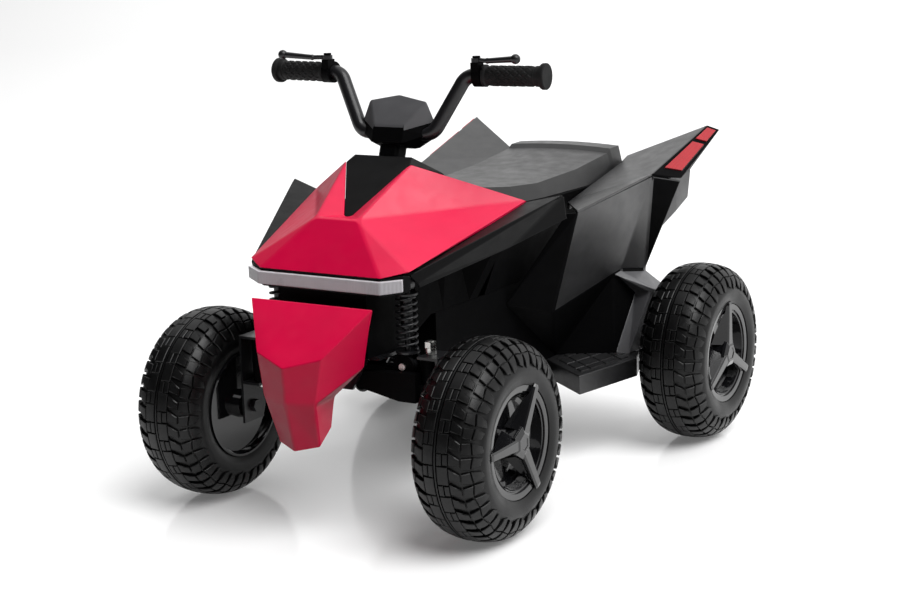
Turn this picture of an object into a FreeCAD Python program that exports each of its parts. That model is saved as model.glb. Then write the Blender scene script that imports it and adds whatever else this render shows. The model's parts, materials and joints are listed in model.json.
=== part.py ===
import FreeCAD, Part
import math
import os
from FreeCAD import Vector

# Kids quad bike. Millimetres, +Z up, front towards -Y, rider's left towards +X.
# The origin lies on the floor, below the middle of the overall box.

# Wheels and layout
WHEELBASE = 623.0
FRONT_TRACK = 503.0
REAR_TRACK = 601.0
TYRE_RADIUS = 150.0
TYRE_WIDTH = 115.0
RIM_RADIUS = 83.5
NOSE_REACH = 156.0
TAIL_REACH = 196.0
FRONT_AXLE_Y = (TAIL_REACH * -1 - WHEELBASE + NOSE_REACH) / 2
REAR_AXLE_Y = FRONT_AXLE_Y + WHEELBASE
AXLE_Z = TYRE_RADIUS

# Clearances
FIT = 0.05
SEAM = 0.5
RUN = 0.3

# Wheel details
SHOULDER_DROP = 48.0
TREAD_GROOVE_WIDTH = 4.0
TREAD_GROOVE_DEPTH = 3.0
TREAD_GROOVE_OFFSET = 16.0
TYRE_WALL = 5.0
TYRE_BEAD = 10.0
# The tyre's crown, outside and inside: share of the half width, and drop below the middle.
TYRE_CROWN = [(0, 0), (0.45, 3), (0.75, 11), (0.95, 28), (1.0, SHOULDER_DROP)]
TYRE_CROWN_INSIDE = [(0, 0), (0.7, 5), (0.96, 20), (1.0, SHOULDER_DROP - 8)]
RIM_WALL = 6.0
RIM_FACE_OFFSET = 54.0
RIM_WEB_OFFSET = 24.0
RIM_WEB = 5.0
RIM_LEDGE = 6.0
RIM_BACK_OFFSET = 40.0
RIM_BACK = 4.0
HUB_RADIUS = 21.0
HUB_INNER = 58.0
HUB_OUTER = 36.0
AXLE_RADIUS = 6.0
COLLAR_RADIUS = 10.0
NUT_RADIUS = 10.0
NUT_HEIGHT = 8.0
AXLE_PROUD = 3.0
CAP_HUB_RADIUS = 24.0
CAP_POCKET_RADIUS = 14.0
CAP_FRONT_OFFSET = 62.0
CAP_BACK_OFFSET = 51.0
CAP_EDGE = 9.0
SPOKE_REACH = 91.0
SPOKE_ROOT_WIDTH = 22.0
SPOKE_TIP_WIDTH = 13.0
SPOKE_COUNT = 3

# Front suspension
ARM_PIVOT_X = 20.0
ARM_PIVOT_Z = 225.0
ARM_PIVOT_RADIUS = 5.0
ARM_EYE_RADIUS = 12.0
ARM_LEG_SPREAD = 22.0
ARM_LEG_WIDTH = 16.0
ARM_NECK = 9.0
ARM_MARGIN = 6.0
KINGPIN_X = FRONT_TRACK / 2 - 95.5
KINGPIN_RADIUS = 5.0
KINGPIN_HEAD = 6.0
KINGPIN_NUT_RADIUS = 9.0
KINGPIN_SPACER = 10.0
KINGPIN_SPACER_RADIUS = 8.5
KINGPIN_BOSS_RADIUS = 16.0
KINGPIN_BOSS_LOW = 194.0
KINGPIN_BOSS_HIGH = 262.0
KNUCKLE_PLATE = 4.0
KNUCKLE_SIDE_X = KINGPIN_X + 22.0
KNUCKLE_HALF_WIDTH = 24.0
KNUCKLE_INSET = 9.0
STEER_LEVER = 5.0
STEER_ARM_X = 20.0
STEER_ARM_Y = 40.0
SHOCK_X = KINGPIN_X - 40.0
SHOCK_LOW_Z = 246.0
SHOCK_HIGH_Z = 366.0
SHOCK_EYE_RADIUS = 11.0
SHOCK_EYE_WIDTH = 16.0
SHOCK_PIN_RADIUS = 4.0
SHOCK_PIN_HEAD = 4.0
SHOCK_PIN_HEAD_RADIUS = 5.5
SHOCK_NECK_RADIUS = 6.5
SHOCK_CHEEK = 6.0
SHOCK_CHEEK_RADIUS = 18.0
SPRING_LOW_Z = 268.0
SPRING_HIGH_Z = 352.0
SPRING_RADIUS = 15.0
SPRING_WIRE = 4.0
SPRING_TURNS = 8
SPRING_END_ROOM = 0.75
SPRING_SEAT = 3.0
SPRING_SEAT_RADIUS = 18.0
DAMPER_RADIUS = 9.0
DAMPER_LENGTH = 50.0
DAMPER_ROD_RADIUS = 4.0
DAMPER_BORE_CLEARANCE = 0.9

# Steering
COLUMN_RAKE = 19.0
COLUMN_TOP_Y = 159.5
COLUMN_TOP_Z = 560.0
COLUMN_RADIUS = 8.0
COLUMN_SPIGOT_RADIUS = 6.0
CRANK_Z = 251.0
CRANK_PLATE = 5.0
CRANK_PIN_RADIUS = 3.0
CRANK_PIN_RISE = 17.0
TIE_ROD_RADIUS = 3.2
TIE_EYE_RADIUS = 9.0
TIE_EYE_HEIGHT = 8.0
TIE_PIN_RADIUS = 4.0
TIE_OPEN_CLEARANCE = 2.0
BAR_RADIUS = 11.0
BAR_WALL = 1.5
BAR_HALF_WIDTH = 250.0
BAR_BEND_X = 66.0
BAR_RISE_X = BAR_HALF_WIDTH - 134.0
BAR_TOP_Z = 655.0
BAR_BEND = 24.0
GRIP_RADIUS = 16.0
GRIP_LENGTH = 96.0
GRIP_FLANGE_RADIUS = 20.0
GRIP_FLANGE = 9.0
CLAMP_X = BAR_HALF_WIDTH - 112.5
CLAMP_LENGTH = 13.5
CLAMP_RADIUS = 17.0
LEVER_RADIUS = 5.0
LEVER_BALL_RADIUS = 7.5
LEVER_BALL_X = BAR_HALF_WIDTH - 36.0
LEVER_BALL_FRONT = 30.5
LEVER_BALL_RISE = 28.0
LEVER_PIVOT_LIFT = 24.0
LEVER_PIVOT_FRONT = 8.0
LEVER_PIVOT_RADIUS = 3.0
LEVER_THICKNESS = 6.0
LEVER_EYE_RADIUS = 8.0
STEM_HALF_WIDTH = 18.0
STEM_HALF_DEPTH = 15.0
STEM_LOW_Z = 521.0
POD_FOOT_Z = 547.0
STEM_CHAMFER = 5.0
BUSH_WALL = 13.0
BUSH_LOW_Z = 452.0
BUSH_LENGTH = 30.0
BUSH_FLANGE = 4.0

# Body
PANEL = 4.0
WALL = 4.0
TUB_HALF_WIDTH = 94.0
TUB_TOP = 300.0
TUB_FLOOR = 128.0
SEAT_BASE_Z = 430.0
CORE_HALF_WIDTH = 117.4
BOARD_TOP = 150.0
BOARD_DEPTH = 32.0
SUBFRAME_TOP = 261.5
SUBFRAME_PLATE = 5.0
SUBFRAME_HALF_WIDTH = SHOCK_X - 46.0
SUBFRAME_TOP_HALF = SHOCK_X - 28.0
SUBFRAME_MARGIN = 6.0
SPIGOT_LENGTH = 22.0
SPIGOT_BOSS = 16.0
SPIGOT_WEB = 10.0
RING_RADIUS = 11.5
RING_WIRE = 3.0
SUBFRAME_FRONT = ARM_LEG_SPREAD + ARM_LEG_WIDTH / 2 + RUN + SUBFRAME_PLATE
SUBFRAME_REAR = SUBFRAME_FRONT
LIGHT_BAR_DEPTH = 8.0
LENS_DEPTH = 4.0
SCREW_HEAD_RADIUS = 5.0
SCREW_HEAD = 3.0
SUBFRAME_SCREWS = [(x, y) for x in (28 - SUBFRAME_TOP_HALF, SUBFRAME_TOP_HALF - 28) for y in (-22, 22)]
BOARD_SCREWS = [(120, -130), (190, -210), (200, -110)]

# Drive and controls
TUB_REAR_HALF = REAR_TRACK / 2 - 150.5
GEARBOX_IN = TUB_REAR_HALF + SEAM
GEARBOX_OUT = TUB_REAR_HALF + 52.0
GEARBOX_RADIUS = 44.0
GEARBOX_BACK = 50.0
GEARBOX_RISE = 52.0
MOTOR_RADIUS = 18.0
MOTOR_LENGTH = 62.0
MOTOR_RISE = 30.0
MOTOR_BOSS_RADIUS = 6.0
MOTOR_BOSS = 5.0
BATTERY_HALF_WIDTH = TUB_HALF_WIDTH - 15.0
BATTERY_LENGTH = 98.0
BATTERY_HEIGHT = 94.0
BATTERY_BACK = -112.0
TERMINAL_X = 48.0
TERMINAL = 10.0
CONTROL_HALF_WIDTH = 45.0
CONTROL_LENGTH = 60.0
CONTROL_HEIGHT = 26.0
CONTROL_FRONT = 292.0
CONTROL_CHAMFER = 3.0
PEDAL_X = -155.0
PEDAL_HALF = 26.0
PEDAL_LENGTH = 60.0
PEDAL_THICKNESS = 8.0
PEDAL_TILT = 12.0
PEDAL_PIVOT_Y = -142.0
PEDAL_PIVOT_RISE = 7.0
PEDAL_PIN_RADIUS = 2.5
PEDAL_BARREL_RADIUS = 5.0
PEDAL_EAR = 6.0
PEDAL_RIBS = 3
PEDAL_RIB_PITCH = 15.0
PEDAL_RIB_RISE = 1.5
BUTTON_RADIUS = 10.0
BUTTON_X = 55.0
BUTTON_Y = 237.0
BUTTON_RISE = 5.0
BUTTON_FLANGE = 2.5
BUTTON_LIP = 3.0

X_AXIS = Vector(1, 0, 0)
Y_AXIS = Vector(0, 1, 0)
Z_AXIS = Vector(0, 0, 1)
ORIGIN = Vector(0, 0, 0)
RAKE = math.radians(COLUMN_RAKE)
COLUMN_AXIS = Vector(0, math.sin(RAKE), math.cos(RAKE))


def front(x, y, z):
    """Point with y counted from the front axle."""
    return Vector(x, FRONT_AXLE_Y + y, z)


def rear(x, y, z):
    """Point with y counted from the rear axle."""
    return Vector(x, REAR_AXLE_Y + y, z)


def mirrored(shape):
    return shape.mirror(ORIGIN, X_AXIS)


def flip(point):
    return Vector(-point.x, point.y, point.z)


def save(name, *solids):
    shape = solids[0] if len(solids) == 1 else Part.makeCompound(list(solids))
    shape.exportStep("parts/" + name + ".step")


def save_pair(name, *solids):
    save(name + "_left", *solids)
    save(name + "_right", *[mirrored(solid) for solid in solids])


def box(x0, x1, y0, y1, z0, z1):
    return Part.makeBox(x1 - x0, y1 - y0, z1 - z0, Vector(x0, y0, z0))


def rod(start, end, radius):
    way = end - start
    return Part.makeCylinder(radius, way.Length, start, way)


def along_y(x, y0, y1, z, radius):
    """Round bar along Y at the front end, with y counted from the front axle."""
    return rod(front(x, y0, z), front(x, y1, z), radius)


def upright(x, z0, z1, radius):
    """Round bar along Z in the front axle's plane."""
    return rod(front(x, 0, z0), front(x, 0, z1), radius)


def polyhedron(triangles):
    """Closed solid from triangles of points."""
    faces = [Part.Face(Part.makePolygon([a, b, c, a])) for a, b, c in triangles]
    solid = Part.Solid(Part.Shell(faces))
    if solid.Volume < 0:
        solid.reverse()
    return solid


def sheet(points, triangles, thickness, fixed=None):
    """Thick panel: the triangles are its outside, offset inwards at every point."""
    fixed = fixed or {}
    normals = {name: [] for name in points}
    for names in triangles:
        a, b, c = [points[name] for name in names]
        normal = (b - a).cross(c - a).normalize()
        for name in names:
            normals[name].append(normal)
    inner = {}
    for name, found in normals.items():
        if name in fixed:
            inner[name] = points[name] + fixed[name]
            continue
        mean = Vector(0, 0, 0)
        for normal in found:
            mean = mean + normal
        mean.normalize()
        least = min(mean.dot(normal) for normal in found)
        inner[name] = points[name] - mean * (thickness / max(least, 0.5))
    skin = []
    edges = {}
    for a, b, c in triangles:
        skin.append((points[a], points[b], points[c]))
        skin.append((inner[c], inner[b], inner[a]))
        for start, end in ((a, b), (b, c), (c, a)):
            edges[(start, end)] = True
    for start, end in edges:
        if (end, start) not in edges:
            skin.append((points[end], points[start], inner[start]))
            skin.append((points[end], inner[start], inner[end]))
    return polyhedron(skin)


def section_body(sections):
    """Solid through four-cornered sections: (y, low half width, high half width, low z, high z)."""
    rings = []
    for y, low_half, high_half, low_z, high_z in sections:
        ring = [Vector(low_half, y, low_z), Vector(high_half, y, high_z),
                Vector(-high_half, y, high_z), Vector(-low_half, y, low_z)]
        rings.append(ring)
    first, last = rings[0], rings[-1]
    skin = [(first[0], first[1], first[2]), (first[0], first[2], first[3]),
            (last[2], last[1], last[0]), (last[3], last[2], last[0])]
    for near, far in zip(rings, rings[1:]):
        for i in range(4):
            j = (i + 1) % 4
            if i == 2:
                skin += [(near[i], far[i], far[j]), (near[i], far[j], near[j])]
            else:
                skin += [(near[i], far[i], near[j]), (far[i], far[j], near[j])]
    return polyhedron(skin)


def hollow(sections, wall, low_drop):
    """Section body with its inside cut away along the walls' own slope, low_drop below the low edge."""
    inside = []
    last = len(sections) - 1
    for i, (y, low_half, high_half, low_z, high_z) in enumerate(sections):
        shift = wall if i == 0 else (-wall if i == last else 0)
        slope = (high_half - low_half) / (high_z - low_z)
        low, high = low_half - wall - slope * low_drop, high_half - wall - slope * wall
        inside.append((y + shift, low, high, low_z - low_drop, high_z - wall))
    return section_body(sections).cut(section_body(inside))


def revolve_x(profile, centre):
    """Solid of revolution round the X axis through centre; profile is (offset, radius) pairs."""
    points = [centre + Vector(offset, 0, radius) for offset, radius in profile]
    face = Part.Face(Part.makePolygon(points + [points[0]]))
    return face.revolve(centre, X_AXIS, 360)


def column_point(z):
    """Point of the steering axis at height z."""
    lean = math.tan(RAKE) * (z - COLUMN_TOP_Z)
    return front(0, COLUMN_TOP_Y + lean, z)


def pod_foot(x, reach):
    """Point on the pod's underside, which is square to the column."""
    return column_point(POD_FOOT_Z) + Vector(x, reach * math.cos(RAKE), -reach * math.sin(RAKE))


# Outside corners of the left body panels
HOOD = {
    "centre_low": front(38, -56, 385), "corner": front(109, -56, 385), "side_low": front(144, -31, 393),
    "ridge_low": front(38, -5, 459), "ridge_high": front(59, 110, 527), "valley": front(6, 24, 457),
    "tail": front(197, 220, 463),
}
FENDER = {
    "tip": front(150, -20, 375), "tip_low": front(151, -16, 368), "inner_front": front(144.6, -29, 389),
    "inner_rear": front(197.6, 220, 462), "crease_rear": front(255, 237, 474),
    "low_rear": front(255, 245, 436), "low_middle": front(204, 160, 402), "inner_end": front(190, 232, 446),
}
NOSE = {
    "top": front(109, -79, 344), "cheek": front(58, -138, 278), "tip": front(0, -NOSE_REACH, 263),
    "side_low": front(92, -80, 257), "waist_rear": front(36, -79, 207), "waist": front(46, -141, 210),
    "ridge": front(0, -153, 209), "foot_rear": front(36, -90, 163), "foot": front(37, -122, 141),
    "foot_front": front(0, -135, 133),
}
DECK = {
    "inner_front": rear(118, -128, 415), "inner_rear": rear(118, 66, 455), "seat_corner": rear(114, 102, 464),
    "tip": rear(237, 175, 514), "tip_out": rear(252, TAIL_REACH, 504), "outer_rear": rear(230, -33, 455),
    "outer_front": rear(205, -255, 425), "strip_low": rear(258, 21.5, 441.3), "rear_in": rear(114, 142, 440),
    "rear_out": rear(213, 160, 438), "inner_low_front": rear(118, -128, 402),
    "inner_low_rear": rear(118, 100, 425),
}
WALL_X = TUB_HALF_WIDTH + SEAM
SIDE_LOW = BOARD_TOP + SEAM
SIDE = {
    "top_front": rear(204.5, -255, 420), "top_rear": rear(229.4, -33, 450), "strip_low": rear(257.4, 20.5, 436.3),
    "apex": rear(176, -48, 288), "knee": rear(150, -241, 250), "leg_low": rear(190, 18, 278),
    "guard_out": rear(231, -22, 253), "guard_edge": rear(221, -26, 249), "guard_inner": rear(190, -22, 242),
    "guard_front": rear(172, -66, 284), "guard_back": rear(231, 30, 245),
    "foot_out": rear(206, -80, SIDE_LOW), "foot_in": rear(184, -85, SIDE_LOW),
    "foot_back": rear(210, -30, SIDE_LOW), "heel": rear(WALL_X, -136, SIDE_LOW),
    "front_top": rear(190, -262, 420), "front_low": rear(WALL_X, -300, 270),
}
BAR_PLAN = [front(140, -44, 0), front(110, -60, 0), front(-110, -60, 0), front(-140, -44, 0)]
BAR_LOW = [365.0, 361.0, 361.0, 365.0]
BAR_HIGH = [383.5, 380.5, 380.5, 383.5]
BEZEL_END = front(142.5, -27.5, 0)
BEZEL_LOW = 366.0
BEZEL_HIGH = 386.0
BEZEL_MARGIN = 4.0
STRIP_MITRE = Vector(0.45, 0.9, 0)
INSERT_BROW = front(52, 125, 536)
INSERT_BACK = front(60, 205, 500)
INSERT_LOW = front(60, 214, 448)
POD = {
    "ear": front(66, 172, 584), "brow": front(52, 172, 615), "jaw": front(28, 143, 579),
    "crown": front(0, 176, 624), "back": front(40, 192, 606), "low_front": front(58, 158, 565),
    "low_back": front(58, 194, 560), "chin": pod_foot(27, -21), "heel": pod_foot(34, 19),
}
NOSE_RIB_HALF = 6.0
NOSE_RIB_LOW = 200.0
NOSE_RIB_HIGH = 250.0
LENS_SPANS = ((0.13, 0.66), (0.72, 0.95))
LENS_INSET = 0.18

# Seat stations: y from the rear axle, half widths at the edge and below, edge height
SEAT_STATIONS = [(-305, 62, 76, 462), (-255, 82, 94, 457), (-185, 94, 106, 454), (-60, 99, 112, 460),
                 (55, 100, 113, 473), (66, 100, 113, 480), (100, 100, 112, 481), (108, 96, 109, 474)]
SEAT_CROWN = 4.0

# Core stations: y, half widths below and above, low and high edge
CORE_SHOULDER = 178.0
CORE_NOSE_HALF = SHOCK_X - 38.0
CORE_SECTIONS = [
    (FRONT_AXLE_Y - 48.4, CORE_NOSE_HALF, CORE_NOSE_HALF, SUBFRAME_TOP, 380),
    (FRONT_AXLE_Y + 34, CORE_NOSE_HALF + 6, CORE_NOSE_HALF + 6, SUBFRAME_TOP, 424),
    (FRONT_AXLE_Y + 100, TUB_HALF_WIDTH, 90, TUB_TOP, 458),
    (FRONT_AXLE_Y + 135, TUB_HALF_WIDTH, 108, TUB_TOP, 462),
    (FRONT_AXLE_Y + 212, TUB_HALF_WIDTH, CORE_SHOULDER, TUB_TOP, 448),
    (FRONT_AXLE_Y + 262, TUB_HALF_WIDTH, CORE_HALF_WIDTH, TUB_TOP, SEAT_BASE_Z),
    (REAR_AXLE_Y + 102, TUB_HALF_WIDTH, CORE_HALF_WIDTH, TUB_TOP, SEAT_BASE_Z)]
SHELF_HALF = 26.0
SHELF_IN = CORE_NOSE_HALF - WALL
SHELF_RISE = 5.0
LUG_HALF = 11.0

# Tub stations: y, half width, low edge, high edge
TUB_RIM = TUB_TOP - SEAM
TUB_DECK = 282.0
TUB_STATIONS = [
    (FRONT_AXLE_Y + 113, TUB_HALF_WIDTH, 200, TUB_RIM), (FRONT_AXLE_Y + 190, TUB_HALF_WIDTH, 150, TUB_RIM),
    (FRONT_AXLE_Y + 260, TUB_HALF_WIDTH, TUB_FLOOR, TUB_RIM),
    (REAR_AXLE_Y - 70, TUB_HALF_WIDTH, TUB_FLOOR, TUB_RIM),
    (REAR_AXLE_Y - 40, TUB_REAR_HALF, TUB_FLOOR, TUB_DECK),
    (REAR_AXLE_Y + 60, TUB_REAR_HALF, TUB_FLOOR, TUB_DECK),
    (REAR_AXLE_Y + 100, TUB_REAR_HALF - 10, 190, TUB_DECK)]

# Footboard plan and tail box stations, y from the rear axle
BOARD_EDGE = REAR_TRACK / 2 - 70.5
BOARD_PLAN = [(WALL_X, -168), (200, -248), (BOARD_EDGE, -97), (BOARD_EDGE - 17, -52), (WALL_X, -76)]
TAIL_STATIONS = [(48, 204, 204, 343, 426), (108, 208, 210, 366, 436), (163, 206, 212, 384, 437)]


def with_right(points):
    """Left corners and their mirror images, named with _r."""
    both = dict(points)
    for name, point in points.items():
        if abs(point.x) > 1e-6:
            both[name + "_r"] = flip(point)
    return both


def both_sides(points, triangles):
    """Triangles and their mirror images."""
    def other(name):
        return name + "_r" if abs(points[name].x) > 1e-6 else name
    return triangles + [(other(c), other(b), other(a)) for a, b, c in triangles]


def make_hood():
    left = [("centre_low", "corner", "ridge_low"), ("corner", "side_low", "ridge_low"),
            ("side_low", "tail", "ridge_low"), ("tail", "ridge_high", "ridge_low"),
            ("ridge_low", "ridge_high", "valley")]
    triangles = both_sides(HOOD, left)
    triangles += [("centre_low_r", "centre_low", "ridge_low"), ("centre_low_r", "ridge_low", "ridge_low_r"),
                  ("ridge_low_r", "ridge_low", "valley"), ("ridge_low_r", "valley", "valley_r")]
    points = with_right(HOOD)
    down = Vector(0, 0, -PANEL * 1.3)
    fixed = {name: down for name in points}
    for side in ("", "_r"):
        for name in ("centre_low", "corner"):
            fixed[name + side] = Vector(0, PANEL, 0)
        fixed["side_low" + side] = Vector(0, PANEL * 0.7, -PANEL * 0.3)
        fixed["side_low" + side].x = -PANEL * 0.7 if side == "" else PANEL * 0.7
    return sheet(points, triangles, PANEL, fixed)


def make_hood_insert():
    gap = SEAM
    points = {
        "valley": HOOD["valley"] + Vector(-gap, gap, 0), "spike": HOOD["ridge_high"] + Vector(-gap, 0, -1),
        "brow": INSERT_BROW, "back": INSERT_BACK, "low": INSERT_LOW,
    }
    left = [("valley", "spike", "brow"), ("spike", "back", "brow"), ("spike", "low", "back")]
    triangles = both_sides(points, left)
    triangles += [("valley_r", "valley", "brow"), ("valley_r", "brow", "brow_r"),
                  ("brow_r", "brow", "back"), ("brow_r", "back", "back_r"),
                  ("back_r", "back", "low"), ("back_r", "low", "low_r")]
    both = with_right(points)
    fixed = {name: Vector(0, 0, -PANEL * 1.3) for name in both}
    for side in ("", "_r"):
        fixed["low" + side] = Vector(0, -PANEL, 0)
    panel = sheet(both, triangles, PANEL, fixed)
    hole = rod(column_point(INSERT_LOW.z), column_point(COLUMN_TOP_Z), STEM_HALF_WIDTH + PANEL)
    return panel.cut(hole)


def make_fender():
    triangles = [("tip", "crease_rear", "inner_front"), ("inner_front", "crease_rear", "inner_rear"),
                 ("tip", "tip_low", "low_middle"), ("tip", "low_middle", "crease_rear"),
                 ("crease_rear", "low_middle", "low_rear"), ("crease_rear", "low_rear", "inner_rear"),
                 ("inner_rear", "low_rear", "inner_end")]
    down = Vector(0, 0, -PANEL)
    inward = Vector(-PANEL, 0, -1)
    fixed = {"inner_front": down, "tip": Vector(-PANEL * 0.6, PANEL, -1), "tip_low": Vector(-PANEL, 1, 0),
             "low_middle": inward, "inner_rear": Vector(0, -1, -PANEL),
             "crease_rear": Vector(-PANEL, -PANEL, -PANEL), "low_rear": Vector(-PANEL, -PANEL, 0),
             "inner_end": Vector(-1, -PANEL, 0)}
    return sheet(FENDER, triangles, PANEL, fixed)


def make_nose_guard():
    left = [("top", "cheek", "tip"), ("top", "side_low", "cheek"), ("side_low", "waist_rear", "waist"),
            ("side_low", "waist", "cheek"), ("cheek", "waist", "ridge"), ("cheek", "ridge", "tip"),
            ("waist", "waist_rear", "foot_rear"), ("waist", "foot_rear", "foot"),
            ("ridge", "waist", "foot"), ("ridge", "foot", "foot_front"), ("foot_front", "foot", "foot_rear")]
    left = [(a, c, b) for a, b, c in left]
    triangles = both_sides(NOSE, left)
    triangles += [("top_r", "tip", "top"), ("foot_rear_r", "foot_rear", "foot_front")]
    guard = sheet(with_right(NOSE), triangles, PANEL)
    rib_front = FRONT_AXLE_Y - NOSE_REACH + 2 * PANEL
    rib_end = FRONT_AXLE_Y - SUBFRAME_FRONT
    rib = box(-NOSE_RIB_HALF, NOSE_RIB_HALF, rib_front, rib_end, NOSE_RIB_LOW, NOSE_RIB_HIGH)
    return guard.fuse(rib).removeSplitter()


def strip(plan, low, high, depth):
    """Bar along a plan line, with its own low and high edge at each point, depth inwards."""
    count = len(plan)
    outer_low = [Vector(p.x, p.y, z) for p, z in zip(plan, low)]
    outer_high = [Vector(p.x, p.y, z) for p, z in zip(plan, high)]
    shift = [(flip(STRIP_MITRE) if p.x > 0 else STRIP_MITRE) * depth for p in plan]
    inner_low = [p + s for p, s in zip(outer_low, shift)]
    inner_high = [p + s for p, s in zip(outer_high, shift)]
    skin = []
    for i in range(count - 1):
        j = i + 1
        for a, b, c, d in ((outer_low[i], outer_low[j], outer_high[j], outer_high[i]),
                           (inner_low[j], inner_low[i], inner_high[i], inner_high[j]),
                           (outer_high[i], outer_high[j], inner_high[j], inner_high[i]),
                           (inner_low[i], inner_low[j], outer_low[j], outer_low[i])):
            skin += [(a, b, c), (a, c, d)]
    for i, turn in ((0, 1), (count - 1, -1)):
        ring = [outer_low[i], outer_high[i], inner_high[i], inner_low[i]][::turn]
        skin += [(ring[0], ring[1], ring[2]), (ring[0], ring[2], ring[3])]
    return polyhedron(skin)


def make_light_bar():
    return strip(BAR_PLAN, BAR_LOW, BAR_HIGH, LIGHT_BAR_DEPTH)


def make_light_bezel():
    back = LIGHT_BAR_DEPTH + SEAM
    plan = [BEZEL_END]
    plan += [p + (flip(STRIP_MITRE) if p.x > 0 else STRIP_MITRE) * back for p in BAR_PLAN]
    plan += [flip(BEZEL_END)]
    low = [BEZEL_LOW] + [z - BEZEL_MARGIN for z in BAR_LOW] + [BEZEL_LOW]
    high = [BEZEL_HIGH] + [z + BEZEL_MARGIN for z in BAR_HIGH] + [BEZEL_HIGH]
    return strip(plan, low, high, PANEL)


def make_rear_fender():
    triangles = [
        ("inner_front", "outer_front", "outer_rear"), ("inner_front", "outer_rear", "inner_rear"),
        ("inner_rear", "outer_rear", "tip"), ("inner_rear", "tip", "seat_corner"),
        ("outer_rear", "strip_low", "tip_out"), ("outer_rear", "tip_out", "tip"),
        ("tip", "tip_out", "rear_out"), ("tip", "rear_out", "seat_corner"),
        ("seat_corner", "rear_out", "rear_in"), ("tip_out", "strip_low", "rear_out"),
        ("inner_front", "inner_rear", "inner_low_front"), ("inner_rear", "inner_low_rear", "inner_low_front"),
        ("inner_rear", "seat_corner", "inner_low_rear"), ("seat_corner", "rear_in", "inner_low_rear")]
    return sheet(DECK, triangles, PANEL)


def lens_corners(low, high):
    """Corners of a lens on the fender's outer strip, between two shares of its length."""
    top_a, top_b = DECK["outer_rear"], DECK["tip"]
    low_a, low_b = DECK["strip_low"], DECK["tip_out"]
    corners = []
    for share, side in ((low, LENS_INSET), (high, LENS_INSET), (high, 1 - LENS_INSET), (low, 1 - LENS_INSET)):
        upper = top_a + (top_b - top_a) * share
        lower = low_a + (low_b - low_a) * share
        corners.append(upper + (lower - upper) * side)
    return corners


def make_tail_lenses():
    lenses = []
    for low, high in LENS_SPANS:
        a, b, c, d = lens_corners(low, high)
        out = (d - a).cross(b - a).normalize()
        if out.x < 0:
            out = out * -1
        skin = []
        lifted = [p + out * (LENS_DEPTH * 0.5) for p in (a, b, c, d)]
        sunk = [p - out * (LENS_DEPTH * 0.5) for p in (a, b, c, d)]
        skin += [(lifted[0], lifted[1], lifted[2]), (lifted[0], lifted[2], lifted[3])]
        skin += [(sunk[2], sunk[1], sunk[0]), (sunk[3], sunk[2], sunk[0])]
        for i in range(4):
            j = (i + 1) % 4
            skin += [(lifted[j], lifted[i], sunk[i]), (lifted[j], sunk[i], sunk[j])]
        lenses.append(polyhedron(skin))
    return lenses


def make_side_panel():
    triangles = [
        ("top_front", "knee", "guard_front"), ("top_front", "guard_front", "apex"),
        ("top_front", "apex", "top_rear"),
        ("top_rear", "apex", "leg_low"), ("top_rear", "leg_low", "strip_low"),
        ("knee", "heel", "guard_front"), ("heel", "foot_in", "guard_front"),
        ("guard_front", "foot_in", "guard_inner"),
        ("guard_inner", "foot_in", "foot_out"), ("guard_inner", "foot_out", "guard_edge"),
        ("guard_front", "guard_inner", "guard_edge"), ("guard_front", "guard_edge", "guard_out"),
        ("guard_front", "guard_out", "apex"), ("apex", "guard_out", "leg_low"),
        ("guard_out", "guard_back", "leg_low"), ("guard_edge", "foot_out", "foot_back"),
        ("guard_edge", "foot_back", "guard_back"), ("guard_edge", "guard_back", "guard_out"),
        ("top_front", "front_top", "front_low"), ("top_front", "front_low", "knee"),
        ("knee", "front_low", "heel")]
    back = Vector(0, PANEL, 0)
    fixed = {"heel": back, "front_low": back, "foot_in": Vector(-PANEL / 2, PANEL, 0),
             "foot_out": Vector(-PANEL, PANEL, 0), "foot_back": Vector(-PANEL, 0, 0),
             "front_top": Vector(-PANEL / 2, PANEL, 0)}
    return sheet(SIDE, triangles, PANEL, fixed)


def seat_wires(inset):
    """Cross sections of the seat, drawn in by inset on every side but the low one."""
    low_z = SEAT_BASE_Z + SEAM - inset
    wires = []
    for i, (y, half_top, half_low, edge_z) in enumerate(SEAT_STATIONS):
        y += inset if i == 0 else (-inset if i == len(SEAT_STATIONS) - 1 else 0)
        edge_z -= inset
        left_low, left_top = rear(half_low - inset, y, low_z), rear(half_top - inset, y, edge_z)
        right_low, right_top = flip(left_low), flip(left_top)
        top = Part.Arc(left_top, rear(0, y, edge_z + SEAT_CROWN), right_top).toShape()
        wires.append(Part.Wire([Part.makeLine(right_low, left_low), Part.makeLine(left_low, left_top), top,
                                Part.makeLine(right_top, right_low)]))
    return wires


def make_seat():
    """Moulded seat shell, open below."""
    outside = Part.makeLoft(seat_wires(0), True, True)
    return outside.cut(Part.makeLoft(seat_wires(WALL), True, True))


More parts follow.
